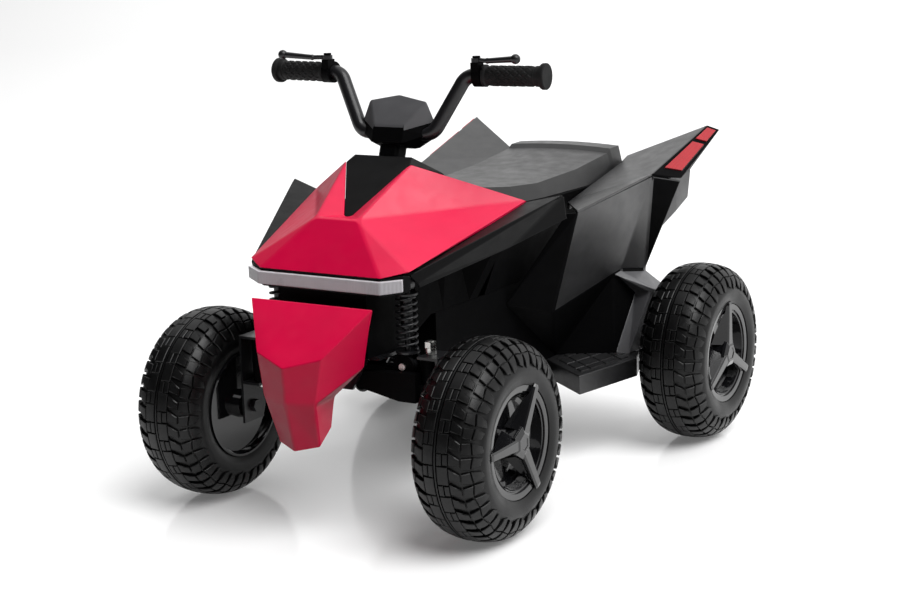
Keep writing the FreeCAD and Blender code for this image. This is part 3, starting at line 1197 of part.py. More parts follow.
def make_battery():
    z = TUB_FLOOR + WALL
    back = REAR_AXLE_Y + BATTERY_BACK
    half = BATTERY_HALF_WIDTH
    case = box(-half, half, back - BATTERY_LENGTH, back, z, z + BATTERY_HEIGHT)
    middle = back - BATTERY_LENGTH / 2
    top = z + BATTERY_HEIGHT
    half = TERMINAL / 2
    for x in (-TERMINAL_X, TERMINAL_X):
        case = case.fuse(box(x - half, x + half, middle, middle + half, top, top + TERMINAL))
    return case


def make_control_box():
    z = TUB_FLOOR + WALL
    y = FRONT_AXLE_Y + CONTROL_FRONT
    half = CONTROL_HALF_WIDTH
    case = box(-half, half, y, y + CONTROL_LENGTH, z, z + CONTROL_HEIGHT)
    top_edges = [edge for edge in case.Edges if edge.CenterOfMass.z > z + CONTROL_HEIGHT - 1]
    return case.makeChamfer(CONTROL_CHAMFER, top_edges)


def pedal_pivot():
    return rear(PEDAL_X, PEDAL_PIVOT_Y, BOARD_TOP + PEDAL_PIVOT_RISE)


def make_pedal():
    half = PEDAL_HALF
    top = PEDAL_THICKNESS / 2
    plate = box(-half, half, -PEDAL_LENGTH, 0, -top, top)
    for i in range(PEDAL_RIBS):
        y = -PEDAL_LENGTH + PEDAL_THICKNESS + i * PEDAL_RIB_PITCH
        rib_end = y + PEDAL_RIB_PITCH / 3
        plate = plate.fuse(box(PEDAL_EAR - half, half - PEDAL_EAR, y, rib_end, 0, top + PEDAL_RIB_RISE))
    barrel = Part.makeCylinder(PEDAL_BARREL_RADIUS, 2 * half, Vector(-half, 0, 0), X_AXIS)
    reach = half + RUN + PEDAL_EAR
    pin = Part.makeCylinder(PEDAL_PIN_RADIUS, 2 * reach, Vector(-reach, 0, 0), X_AXIS)
    pedal = plate.fuse(barrel).fuse(pin).removeSplitter()
    pedal.rotate(ORIGIN, X_AXIS, -PEDAL_TILT)
    pedal.translate(pedal_pivot())
    return pedal


def with_pedal_ears(board):
    """Right footboard with the two ears that carry the pedal's pins."""
    pivot = pedal_pivot()
    ear = PEDAL_EAR
    low = BOARD_TOP - WALL / 2
    for x in (pivot.x + PEDAL_HALF + RUN, pivot.x - PEDAL_HALF - RUN - ear):
        board = board.fuse(box(x, x + ear, pivot.y - ear, pivot.y + ear, low, pivot.z + ear))
    reach = PEDAL_HALF + RUN + 2 * PEDAL_EAR
    bore = rod(pivot - X_AXIS * reach, pivot + X_AXIS * reach, PEDAL_PIN_RADIUS + FIT)
    return board.cut(bore).removeSplitter()


def button_seat():
    """Middle of the power button on the core's sloping roof, and the roof's normal."""
    before, after = CORE_SECTIONS[4:6]
    slope = (after[4] - before[4]) / (after[0] - before[0])
    y = FRONT_AXLE_Y + BUTTON_Y
    normal = Vector(0, -slope, 1).normalize()
    return Vector(BUTTON_X, y, before[4] + slope * (y - before[0])), normal


def make_power_button():
    seat, normal = button_seat()
    flange_top = WALL * normal.z + RUN
    foot = flange_top + BUTTON_FLANGE
    base = seat - normal * foot
    cap = rod(base, seat + normal * BUTTON_RISE, BUTTON_RADIUS)
    return cap.fuse(rod(base, seat - normal * flange_top, BUTTON_RADIUS + BUTTON_LIP)).removeSplitter()


def make_fasteners():
    bolts = []
    for x in (ARM_PIVOT_X, -ARM_PIVOT_X):
        bolt = along_y(x, -SUBFRAME_FRONT, SUBFRAME_REAR + KINGPIN_HEAD, ARM_PIVOT_Z, ARM_PIVOT_RADIUS)
        head_radius = ARM_PIVOT_RADIUS + SCREW_HEAD
        head = along_y(x, -SUBFRAME_FRONT - SCREW_HEAD, -SUBFRAME_FRONT, ARM_PIVOT_Z, head_radius)
        bolts.append(bolt.fuse(head))
    pin = make_shock_pin(SHOCK_HIGH_Z)
    bolts += [pin, mirrored(pin)]
    plate_low = SUBFRAME_TOP - SUBFRAME_PLATE
    for x, y in SUBFRAME_SCREWS:
        at = front(x, y, plate_low)
        bolts.append(rod(at - Z_AXIS * SCREW_HEAD, at, SCREW_HEAD_RADIUS))
    for side in (1, -1):
        for x, y in BOARD_SCREWS:
            at = rear(side * x, y, BOARD_TOP - WALL)
            bolts.append(rod(at - Z_AXIS * SCREW_HEAD, at, SCREW_HEAD_RADIUS))
    return bolts


def main():
    os.makedirs("parts", exist_ok=True)
    save("hood", make_hood())
    save("hood_insert", make_hood_insert())
    save("nose_guard", make_nose_guard())
    save("light_bar", make_light_bar())
    save("light_bezel", make_light_bezel())
    save_pair("front_fender", make_fender())
    lenses = make_tail_lenses()
    fender = make_rear_fender()
    save_pair("side_panel", make_side_panel().cut(fender))
    save("tail_box", make_tail_box().cut(fender).cut(mirrored(fender)))
    for lens in lenses:
        fender = fender.cut(lens)
    save_pair("rear_fender", fender)
    save("tail_lenses", *(lenses + [mirrored(lens) for lens in lenses]))
    save("seat", make_seat())
    seat, normal = button_seat()
    hole = rod(seat - normal * BUTTON_RADIUS, seat + normal * BUTTON_RADIUS, BUTTON_RADIUS + FIT)
    save("body_core", make_core().fuse(make_column_bush()).cut(hole).removeSplitter())
    save("power_button", make_power_button())
    save("chassis_tub", make_tub())
    board = make_footboard()
    save("footboard_left", board)
    save("footboard_right", with_pedal_ears(mirrored(board)))
    save("accelerator_pedal", make_pedal())
    save("battery", make_battery())
    save("control_box", make_control_box())
    save("front_subframe", make_subframe())
    save("rear_axle", *make_rear_axle())
    save("gear_motors", *make_gearboxes())
    save("fasteners", *make_fasteners())
    save("steering_column", make_column())
    save("handlebar", make_handlebar())
    save("bar_pod", make_pod())
    save("bar_stem", make_stem())
    grip = make_grip()
    save("handlebar_grips", grip, mirrored(grip))
    clamp = make_lever_clamp()
    save("lever_clamps", clamp, mirrored(clamp))
    save_pair("brake_lever", make_lever())
    save_pair("swing_arm", make_swing_arm())
    save_pair("arm_bolts", make_kingpin(), make_shock_pin(SHOCK_LOW_Z))
    save_pair("shock_body", make_shock_body())
    save_pair("shock_rod", make_shock_rod())
    save_pair("shock_spring", make_spring())
    save_pair("knuckle", make_knuckle(), make_axle_nut(FRONT_TRACK / 2, FRONT_AXLE_Y))
    save_pair("tie_rod", make_tie_rod())
    ends = (("front", FRONT_AXLE_Y, FRONT_TRACK, 90), ("rear", REAR_AXLE_Y, REAR_TRACK, 0))
    for end, y, track, turn in ends:
        for name, side in (("left", 1), ("right", -1)):
            x = side * track / 2
            wheel = "_" + end + "_" + name
            save("tyre" + wheel, make_tyre(x, y))
            save("rim" + wheel, make_rim(x, y, side))
            save("hub_cap" + wheel, make_hub_cap(x, y, side, turn))


main()
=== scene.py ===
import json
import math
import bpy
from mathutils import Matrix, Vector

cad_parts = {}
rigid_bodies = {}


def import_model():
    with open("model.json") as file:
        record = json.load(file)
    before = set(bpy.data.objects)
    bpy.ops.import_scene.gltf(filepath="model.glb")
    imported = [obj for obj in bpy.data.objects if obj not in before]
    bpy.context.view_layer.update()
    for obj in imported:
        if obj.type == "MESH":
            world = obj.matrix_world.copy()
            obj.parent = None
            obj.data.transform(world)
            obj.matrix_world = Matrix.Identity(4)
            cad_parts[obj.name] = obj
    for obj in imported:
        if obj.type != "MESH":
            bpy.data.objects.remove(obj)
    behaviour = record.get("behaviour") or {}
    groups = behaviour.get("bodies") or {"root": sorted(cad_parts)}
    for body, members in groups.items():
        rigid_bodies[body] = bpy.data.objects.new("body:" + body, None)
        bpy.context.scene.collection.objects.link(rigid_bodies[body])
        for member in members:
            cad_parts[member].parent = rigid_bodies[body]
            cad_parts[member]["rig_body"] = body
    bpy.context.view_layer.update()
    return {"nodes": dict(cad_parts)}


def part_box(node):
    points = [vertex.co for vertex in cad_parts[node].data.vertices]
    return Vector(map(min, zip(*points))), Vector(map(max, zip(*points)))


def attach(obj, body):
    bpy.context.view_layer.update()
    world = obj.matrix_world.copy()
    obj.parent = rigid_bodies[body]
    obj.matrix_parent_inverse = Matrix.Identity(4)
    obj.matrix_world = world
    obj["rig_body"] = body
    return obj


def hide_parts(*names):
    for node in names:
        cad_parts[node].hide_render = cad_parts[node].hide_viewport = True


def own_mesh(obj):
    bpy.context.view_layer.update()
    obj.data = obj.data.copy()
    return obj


bl_info = {
    "name": "Kids quad bike finish",
    "version": (1, 0, 0),
    "blender": (4, 5, 0),
    "location": "3D View > Sidebar > Quad bike",
    "description": "Rounds the moulded panels, builds tyres, wheels and grips, and sets every finish",
    "category": "Object",
}

import bmesh
import bpy
from bpy.props import FloatProperty, FloatVectorProperty, IntProperty, PointerProperty
from mathutils import Matrix, Vector

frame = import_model()

SIDES = (("left", 1), ("right", -1))
WHEELS = [(end, side) for end in ("front", "rear") for side in ("left", "right")]


def both(*stems):
    """Names of the left and right nodes of each stem."""
    return tuple(stem + "_" + side for stem in stems for side, way in SIDES)


def node_centre(node):
    low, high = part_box(node)
    return (low + high) / 2


def body_of(node):
    return frame["nodes"][node]["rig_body"]


def title(node):
    return node.capitalize().replace("_", "-")


class TyreSizes(bpy.types.PropertyGroup):
    pitches: IntProperty(name="Pitches", description="Tread motifs round the tyre", default=20, min=8, max=40)
    depth: FloatProperty(name="Tread depth", description="Height of the blocks over the carcass",
                         default=0.0045, unit="LENGTH")
    chamfer: FloatProperty(name="Block chamfer", description="Bevel round each block's top",
                           default=0.0009, unit="LENGTH")
    steps: IntProperty(name="Steps", description="Facets round the carcass", default=144, min=48, max=288)


class PanelSizes(bpy.types.PropertyGroup):
    crease: FloatProperty(name="Crease radius", description="Rounding of the creases between facets",
                          default=0.004, unit="LENGTH")
    rim: FloatProperty(name="Rim radius", description="Rounding of the panels' thin rims",
                       default=0.0012, unit="LENGTH")
    segments: IntProperty(name="Segments", description="Strips across each rounding", default=3, min=1, max=6)


class WheelSizes(bpy.types.PropertyGroup):
    steps: IntProperty(name="Steps", description="Facets round the rim", default=96, min=32, max=192)
    spokes: IntProperty(name="Spokes", description="Spokes of the hub cap", default=3, min=3, max=8)


class GripSizes(bpy.types.PropertyGroup):
    around: IntProperty(name="Around", description="Lozenges round a grip", default=9, min=6, max=40)
    rows: IntProperty(name="Rows", description="Rows of lozenges along a grip", default=10, min=4, max=60)
    height: FloatProperty(name="Height", description="Height of a lozenge over its sunk base",
                          default=0.0019, unit="LENGTH")


class BoardSizes(bpy.types.PropertyGroup):
    row: FloatProperty(name="Row", description="Distance of the tread's rows along the board",
                       default=0.040, unit="LENGTH")
    column: FloatProperty(name="Column", description="Distance of the tread's columns across the board",
                          default=0.036, unit="LENGTH")
    groove: FloatProperty(name="Groove", description="Width of the grooves between the tiles",
                          default=0.0035, unit="LENGTH")
    margin: FloatProperty(name="Margin", description="Plain border round the tread",
                          default=0.015, unit="LENGTH")
    height: FloatProperty(name="Height", description="Height of a tile", default=0.0016, unit="LENGTH")


class FinishColours(bpy.types.PropertyGroup):
    body: FloatVectorProperty(name="Body", description="Hood and nose guard", subtype="COLOR",
                              default=(0.80, 0.0008, 0.062), min=0, max=1)
    panel: FloatVectorProperty(name="Panels", description="Dark moulded panels", subtype="COLOR",
                               default=(0.003, 0.003, 0.0033), min=0, max=1)
    satin: FloatVectorProperty(name="Satin panels", description="Sides and rear fenders", subtype="COLOR",
                               default=(0.016, 0.016, 0.017), min=0, max=1)
    seat: FloatVectorProperty(name="Seat", description="Moulded seat", subtype="COLOR",
                              default=(0.008, 0.008, 0.0085), min=0, max=1)
    rubber: FloatVectorProperty(name="Tyres", description="Tyre rubber", subtype="COLOR",
                                default=(0.0025, 0.0025, 0.0027), min=0, max=1)
    gloss: FloatVectorProperty(name="Wheels", description="Gloss black of rims and caps", subtype="COLOR",
                               default=(0.007, 0.007, 0.008), min=0, max=1)
    light: FloatVectorProperty(name="Light cover", description="Pale front light", subtype="COLOR",
                               default=(0.74, 0.71, 0.75), min=0, max=1)
    lens: FloatVectorProperty(name="Rear lenses", description="Red rear lenses", subtype="COLOR",
                              default=(0.46, 0.008, 0.018), min=0, max=1)
    steel: FloatVectorProperty(name="Steel", description="Zinc-plated bolts and axles", subtype="COLOR",
                               default=(0.60, 0.60, 0.58), min=0, max=1)


class StageSettings(bpy.types.PropertyGroup):
    camera: FloatVectorProperty(name="Camera", description="Camera position", subtype="XYZ", unit="LENGTH",
                                default=(1.5991, -2.5621, 0.9104))
    heading: FloatProperty(name="Azimuth", description="Camera azimuth", subtype="ANGLE",
                           default=math.radians(32.26))
    pitch: FloatProperty(name="Elevation", description="Camera elevation", subtype="ANGLE",
                         default=math.radians(11.99))
    roll: FloatProperty(name="Roll", description="Camera roll", subtype="ANGLE", default=math.radians(-1.80))
    lens: FloatProperty(name="Lens", description="Focal length in millimetres", default=74.70)
    key: FloatProperty(name="Key", description="Strength of the broad overhead light", default=2.6)
    bright: FloatProperty(name="Bright side", description="Surround above and behind", default=1.0)
    dark: FloatProperty(name="Dark side", description="Surround on the camera's side", default=0.03)


GROUPS = {"quad_tyres": TyreSizes, "quad_panels": PanelSizes, "quad_wheels": WheelSizes,
          "quad_grips": GripSizes, "quad_boards": BoardSizes, "quad_colours": FinishColours,
          "quad_stage": StageSettings}


def new_material(name):
    material = bpy.data.materials.new(name)
    material.use_nodes = True
    nodes = material.node_tree.nodes
    return material, nodes, material.node_tree.links, nodes["Principled BSDF"]


def preset(node, values):
    """Sets a node's inputs by their names or places."""
    for key, value in values.items():
        node.inputs[key].default_value = value
    return node


# The span of a noise's values that is used.
NOISE_LOW = 0.3
NOISE_HIGH = 0.7


def noise_at(nodes, links, scale, detail, stretch=(1, 1, 1)):
    """Noise on the piece's own coordinates, stretched along its axes."""
    place = nodes.new("ShaderNodeTexCoord")
    mapping = preset(nodes.new("ShaderNodeMapping"), {"Scale": stretch})
    noise = preset(nodes.new("ShaderNodeTexNoise"), {"Scale": scale, "Detail": detail})
    links.new(place.outputs["Object"], mapping.inputs["Vector"])
    links.new(mapping.outputs["Vector"], noise.inputs["Vector"])
    return noise.outputs["Fac"]


def ramp(nodes, links, source, low, high):
    """Maps a texture to the span from low to high."""
    span = nodes.new("ShaderNodeMapRange")
    preset(span, {"From Min": NOISE_LOW, "From Max": NOISE_HIGH, "To Min": low, "To Max": high})
    links.new(source, span.inputs["Value"])
    return span.outputs["Result"]


def mottled(nodes, links, source, colour, spread):
    """Colour that drifts a little darker and lighter over the surface."""
    blend = nodes.new("ShaderNodeValToRGB")
    stops = blend.color_ramp.elements
    stops[0].position = NOISE_LOW
    stops[1].position = NOISE_HIGH
    stops[0].color = [c * (1 - spread) for c in colour] + [1]
    stops[1].color = [min(1, c * (1 + spread)) for c in colour] + [1]
    links.new(source, blend.inputs["Fac"])
    return blend.outputs["Color"]


def bump(nodes, links, source, distance, strength, shader):
    relief = preset(nodes.new("ShaderNodeBump"), {"Strength": strength, "Distance": distance})
    links.new(source, relief.inputs["Height"])
    links.new(relief.outputs["Normal"], shader.inputs["Normal"])


def moulded_plastic(name, colour, roughness, gloss, grain=0.0003, spread=0.12):
    """Injection-moulded plastic: a fine grain, faint flow marks and handling marks in the gloss."""
    material, nodes, links, shader = new_material(name)
    flow = noise_at(nodes, links, 14, 4, (1, 1, 2))
    links.new(mottled(nodes, links, flow, colour, spread), shader.inputs["Base Color"])
    marks = noise_at(nodes, links, 45, 6)
    links.new(ramp(nodes, links, marks, roughness - 0.05, roughness + 0.07), shader.inputs["Roughness"])
    bump(nodes, links, noise_at(nodes, links, 1400, 2), grain, 0.35, shader)
    preset(shader, {"Specular IOR Level": gloss})
    return material


def rubber(name, colour, roughness):
    """Matte rubber with a dusty bloom and a fine pitted skin."""
    material, nodes, links, shader = new_material(name)
    bloom = noise_at(nodes, links, 30, 8)
    links.new(mottled(nodes, links, bloom, colour, 0.3), shader.inputs["Base Color"])
    links.new(ramp(nodes, links, bloom, roughness - 0.08, roughness + 0.08), shader.inputs["Roughness"])
    bump(nodes, links, noise_at(nodes, links, 900, 3), 0.0003, 0.4, shader)
    preset(shader, {"Specular IOR Level": 0.32})
    return material


def lacquer(name, colour, roughness, gloss, coat):
    """Black lacquer with a slight orange peel."""
    material, nodes, links, shader = new_material(name)
    drift = noise_at(nodes, links, 20, 3)
    links.new(mottled(nodes, links, drift, colour, 0.2), shader.inputs["Base Color"])
    links.new(ramp(nodes, links, noise_at(nodes, links, 60, 5), roughness - 0.04, roughness + 0.06),
              shader.inputs["Roughness"])
    bump(nodes, links, noise_at(nodes, links, 220, 2), 0.0004, 0.12, shader)
    preset(shader, {"Specular IOR Level": gloss, "Coat Weight": coat, "Coat Roughness": 0.06})
    return material


def plated_steel(name, colour, roughness):
    """Zinc-plated steel with fine turning marks."""
    material, nodes, links, shader = new_material(name)
    preset(shader, {"Metallic": 1.0})
    drift = noise_at(nodes, links, 120, 6)
    links.new(mottled(nodes, links, drift, colour, 0.15), shader.inputs["Base Color"])
    links.new(ramp(nodes, links, drift, roughness - 0.08, roughness + 0.1), shader.inputs["Roughness"])
    bump(nodes, links, noise_at(nodes, links, 500, 4, (1, 6, 1)), 0.0002, 0.2, shader)
    return material


def ribbed_cover(name, colour, roughness, ribs, depth, coat):
    """Clear-coated cover with moulded ribs across it."""
    material, nodes, links, shader = new_material(name)
    drift = noise_at(nodes, links, 25, 4)
    links.new(mottled(nodes, links, drift, colour, 0.08), shader.inputs["Base Color"])
    links.new(ramp(nodes, links, drift, roughness - 0.04, roughness + 0.06), shader.inputs["Roughness"])
    place = nodes.new("ShaderNodeTexCoord")
    wave = nodes.new("ShaderNodeTexWave")
    wave.bands_direction = "X"
    preset(wave, {"Scale": ribs})
    links.new(place.outputs["Object"], wave.inputs["Vector"])
    bump(nodes, links, wave.outputs["Fac"], depth, 0.3, shader)
    preset(shader, {"Coat Weight": coat, "Coat Roughness": 0.05})
    return material


def finishes(context):
    """Every finish of the object, made once and found by name after that."""
    found = bpy.data.materials
    colours = context.scene.quad_colours
    table = {
        "Pink moulding": (moulded_plastic, colours.body, 0.36, 0.4, 0.0002, 0.04),
        "Black moulding": (moulded_plastic, colours.panel, 0.40, 0.12),
        "Satin moulding": (moulded_plastic, colours.satin, 0.36, 0.9),
        # Paler copy of the satin moulding: painted highlight on the pod and the wheel guards, painted light
        # on the pedal.
        "Pod moulding": (moulded_plastic, [c * 6 for c in colours.satin], 0.36, 0.9),
        # Matt black of the frame parts, also laid on the side panels and the pod as painted shade.
        "Matt moulding": (moulded_plastic, colours.panel, 0.50, 0.03),
        "Seat moulding": (moulded_plastic, colours.seat, 0.36, 0.6),
        "Tyre rubber": (rubber, colours.rubber, 0.38),
        "Grip rubber": (rubber, [c * 0.9 for c in colours.rubber], 0.72),
        "Gloss black": (lacquer, colours.gloss, 0.07, 0.5, 0.4),
        "Painted steel": (lacquer, [c * 1.5 for c in colours.gloss], 0.34, 0.4, 0.1),
        "Plated steel": (plated_steel, colours.steel, 0.28),
        "Light cover": (ribbed_cover, colours.light, 0.28, 60, 0.0006, 0.3),
        "Red lens": (ribbed_cover, colours.lens, 0.24, 90, 0.0008, 0.0),
    }
    return {name: found.get(name) or make(name, *look) for name, (make, *look) in table.items()}


def placed(name, data):
    """New object of the data, linked to the scene."""
    piece = bpy.data.objects.new(name, data)
    bpy.context.scene.collection.objects.link(piece)
    return piece


def mesh_piece(name, points, faces, material):
    """Object at the origin from points and faces, with its faces turned outwards."""
    mesh = bpy.data.meshes.new(name)
    mesh.from_pydata([tuple(p) for p in points], [], faces)
    work = bmesh.new()
    work.from_mesh(mesh)
    bmesh.ops.remove_doubles(work, verts=work.verts, dist=1e-6)
    bmesh.ops.recalc_face_normals(work, faces=work.faces)
    work.to_mesh(mesh)
    work.free()
    mesh.materials.append(material)
    return placed(name, mesh)


def baked(piece):
    """Applies the piece's modifiers to its mesh."""
    graph = bpy.context.evaluated_depsgraph_get()
    graph.update()
    mesh = bpy.data.meshes.new_from_object(piece.evaluated_get(graph))
    piece.modifiers.clear()
    old = piece.data
    piece.data = mesh
    bpy.data.meshes.remove(old)
    return piece


def smooth(piece, degrees):
    piece.data.shade_smooth()
    piece.data.set_sharp_from_angle(angle=math.radians(degrees))
    return piece


def settle(piece, body, slot, *nodes):
    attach(piece, body)
    if nodes:
        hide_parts(*nodes)
    return piece


def rounded(piece, width, segments, **settings):
    """Bevels the piece's edges, evens out its shading and keeps the plain mesh."""
    rounding = piece.modifiers.new("Rounding", "BEVEL")
    rounding.width = width
    rounding.segments = segments
    for name, value in settings.items():
        setattr(rounding, name, value)
    piece.modifiers.new("Shading", "WEIGHTED_NORMAL").keep_sharp = True
    piece.data.shade_smooth()
    return baked(piece)


# Angle up to which faces are one facet, least angle of a crease, and a facet's least width in crease radii.
FLAT_ANGLE = math.radians(0.6)
CREASE_ANGLE = math.radians(7.0)
WIDE_FACET = 3.2


def softened(node, name, material, crease, rim, segments, clamp=False):
    """Copy of a node with its creases rounded: wide on long creases, narrow on thin rims."""
    work = bmesh.new()
    work.from_mesh(frame["nodes"][node].data)
    bmesh.ops.remove_doubles(work, verts=work.verts, dist=2e-5)
    bmesh.ops.dissolve_limit(work, angle_limit=FLAT_ANGLE, verts=work.verts, edges=work.edges)
    weights = work.edges.layers.float.new("bevel_weight_edge")
    narrow = rim / crease
    for edge in work.edges:
        if len(edge.link_faces) != 2 or edge.calc_face_angle(0) < CREASE_ANGLE:
            continue
        short = min(face.calc_area() / max(e.calc_length() for e in face.edges) for face in edge.link_faces)
        edge[weights] = 1.0 if short > WIDE_FACET * crease else narrow
    mesh = bpy.data.meshes.new(name)
    work.to_mesh(mesh)
    work.free()
    mesh.materials.clear()
    mesh.materials.append(material)
    return rounded(placed(name, mesh), crease, segments, limit_method="WEIGHT", use_clamp_overlap=clamp,
                   miter_outer="MITER_ARC")


def geometry_tree(name, inputs):
    """New geometry node group with its named inputs; returns it with its input and output nodes."""
    group = bpy.data.node_groups.new(name, "GeometryNodeTree")
    group.interface.new_socket(name="Geometry", in_out="OUTPUT", socket_type="NodeSocketGeometry")
    group.interface.new_socket(name="Geometry", in_out="INPUT", socket_type="NodeSocketGeometry")
    for label, kind in inputs:
        group.interface.new_socket(name=label, in_out="INPUT", socket_type=kind)
    return group, group.nodes.new("NodeGroupInput"), group.nodes.new("NodeGroupOutput")


def grow(piece, group, values):
    """Runs a node group on the piece with these input values, and keeps the plain mesh."""
    modifier = piece.modifiers.new(group.name, "NODES")
    modifier.node_group = group
    for socket in group.interface.items_tree:
        if socket.in_out == "INPUT" and socket.name in values:
            modifier[socket.identifier] = values[socket.name]
    return baked(piece)


def wire(group, *wires):
    """Links sockets of a node tree: each wire is a node and its output, then a node and its input."""
    for source, out, goal, into in wires:
        group.links.new(source.outputs[out], goal.inputs[into])


def ring_tree():
    """Repeats one motif round an axle along X and joins it to the carcass."""
    inputs = [("Motif", "NodeSocketObject"), ("Count", "NodeSocketInt"), ("Centre", "NodeSocketVector"),
              ("Rubber", "NodeSocketMaterial")]
    group, start, end = geometry_tree("Tread ring", inputs)
    nodes = group.nodes
    points = nodes.new("GeometryNodePoints")
    motif = nodes.new("GeometryNodeObjectInfo")
    index = nodes.new("GeometryNodeInputIndex")
    step = nodes.new("ShaderNodeMath")
    step.operation = "DIVIDE"
    step.inputs[0].default_value = 2 * math.pi
    angle = nodes.new("ShaderNodeMath")
    angle.operation = "MULTIPLY"
    turn = nodes.new("ShaderNodeCombineXYZ")
    place = nodes.new("GeometryNodeInstanceOnPoints")
    real = nodes.new("GeometryNodeRealizeInstances")
    join = nodes.new("GeometryNodeJoinGeometry")
    paint = nodes.new("GeometryNodeSetMaterial")
    wire(group, (start, "Motif", motif, "Object"), (start, "Count", points, "Count"),
         (start, "Centre", points, "Position"), (start, "Count", step, 1), (index, "Index", angle, 0),
         (step, "Value", angle, 1), (angle, "Value", turn, "X"), (points, "Points", place, "Points"),
         (motif, "Geometry", place, "Instance"), (turn, "Vector", place, "Rotation"),
         (place, "Instances", join, "Geometry"), (start, "Geometry", join, "Geometry"),
         (join, "Geometry", real, "Geometry"), (real, "Geometry", paint, "Geometry"),
         (start, "Rubber", paint, "Material"), (paint, "Geometry", end, "Geometry"))
    return group


def scatter_tree():
    """Sets one lozenge on every point of a mesh, turned as the point's own frame says."""
    group, start, end = geometry_tree("Lozenges", [("Lozenge", "NodeSocketObject"),
                                                   ("Finish", "NodeSocketMaterial")])
    nodes = group.nodes
    lozenge = nodes.new("GeometryNodeObjectInfo")
    turn = nodes.new("GeometryNodeInputNamedAttribute")
    turn.data_type = "FLOAT_VECTOR"
    turn.inputs["Name"].default_value = "turn"
    place = nodes.new("GeometryNodeInstanceOnPoints")
    real = nodes.new("GeometryNodeRealizeInstances")
    paint = nodes.new("GeometryNodeSetMaterial")
    wire(group, (start, "Lozenge", lozenge, "Object"), (start, "Geometry", place, "Points"),
         (lozenge, "Geometry", place, "Instance"), (turn, "Attribute", place, "Rotation"),
         (place, "Instances", real, "Geometry"), (real, "Geometry", paint, "Geometry"),
         (start, "Finish", paint, "Material"), (paint, "Geometry", end, "Geometry"))
    return group


def band(first, second, count):
    """Faces between two closed rings of points that start at these indices."""
    return [(first + i, first + (i + 1) % count, second + (i + 1) % count, second + i) for i in range(count)]


def lozenge_mesh(name, length, width, height, material):
    """Small raised lozenge with sloping flanks, standing on its XY plane."""
    base = [Vector((length / 2, 0, 0)), Vector((0, width / 2, 0)), Vector((-length / 2, 0, 0)),
            Vector((0, -width / 2, 0))]
    lift = Vector((0, 0, height))
    top = [p * STUD_TOP_SHARE + lift for p in base]
    sunk = [p - lift for p in base]
    faces = [(4, 5, 6, 7), (11, 10, 9, 8)] + band(0, 4, 4) + band(8, 0, 4)
    return mesh_piece(name, base + top + sunk, faces, material)


def lozenges(name, spots, tree, inputs):
    """One mesh of lozenges at the spots, each a point and its turn as angles about X, Y and Z."""
    mesh = bpy.data.meshes.new(name)
    mesh.from_pydata([tuple(point) for point, turn in spots], [], [])
    turns = mesh.attributes.new("turn", "FLOAT_VECTOR", "POINT")
    turns.data.foreach_set("vector", [a for point, turn in spots for a in turn])
    return grow(placed(name, mesh), tree, inputs)


def lathe(profile, centre, steps, closed=True):
    """Points and faces of a profile of (offset, radius) pairs turned round an axle along X."""
    points = []
    faces = []
    count = len(profile)
    for i in range(steps):
        angle = 2 * math.pi * i / steps
        for offset, radius in profile:
            points.append(centre + Vector((offset, radius * math.cos(angle), radius * math.sin(angle))))
        for j in range(count if closed else count - 1):
            k = (j + 1) % count
            here, there = i * count, (i + 1) % steps * count
            faces.append((here + j, here + k, there + k, there + j))
    return points, faces


def joined(name, pieces):
    """Several pieces as one object."""
    first = pieces[0]
    with bpy.context.temp_override(active_object=first, selected_editable_objects=pieces):
        bpy.ops.object.join()
    first.name = name
    first.data.name = name
    return first


# The tyre's outside from the middle of the tread to the bead: offset and radius in metres.
TYRE_LINE = [(0.0, 0.150), (0.0259, 0.147), (0.0431, 0.139), (0.0546, 0.122), (0.0575, 0.102),
             (0.0566, 0.0935), (0.0535, 0.0845)]
TYRE_INSIDE = [(0.0400, 0.0842), (0.0400, 0.0935), (0.0488, 0.0935), (0.0515, 0.105), (0.0495, 0.122),
               (0.0360, 0.135), (0.0, 0.140)]
# Distance from the middle at which the side wall is bare, and the run over which the carcass rises to it.
BARE_WALL = 0.080
WALL_RISE = 0.010
CARCASS_STEPS = 26
# The ridge round the middle: height in tread depths, half width of its top and of its foot.
RIDGE_HEIGHT = 0.75
RIDGE_TOP = 0.0012
RIDGE_FOOT = 0.0014
BLOCK_CELLS = 3
# Angles in degrees past which edges stay sharp.
TYRE_SHARP = 32
RIM_SHARP = 24
# Tread blocks of one pitch on one side: corners as (share of the pitch, distance from the middle).
BLOCKS = [
    [(0.01, 0.0032), (0.60, 0.0032), (0.60, 0.0195), (0.01, 0.0195)],
    [(0.62, 0.0032), (0.99, 0.0032), (0.99, 0.0105), (0.62, 0.0105)],
    [(0.63, 0.0120), (0.97, 0.0120), (0.97, 0.0195), (0.63, 0.0195)],
    [(0.05, 0.0208), (0.42, 0.0208), (0.50, 0.0375), (0.26, 0.0375)],
    [(0.55, 0.0208), (0.92, 0.0208), (1.00, 0.0375), (0.76, 0.0375)],
    [(0.24, 0.0395), (0.56, 0.0395), (0.62, 0.0560), (0.22, 0.0530)],
    [(0.74, 0.0395), (1.06, 0.0395), (1.12, 0.0530), (0.72, 0.0560)],
    [(0.20, 0.0548), (0.62, 0.0578), (0.56, 0.0790), (0.30, 0.0740)],
    [(0.70, 0.0578), (1.10, 0.0548), (1.04, 0.0710), (0.78, 0.0760)],
]


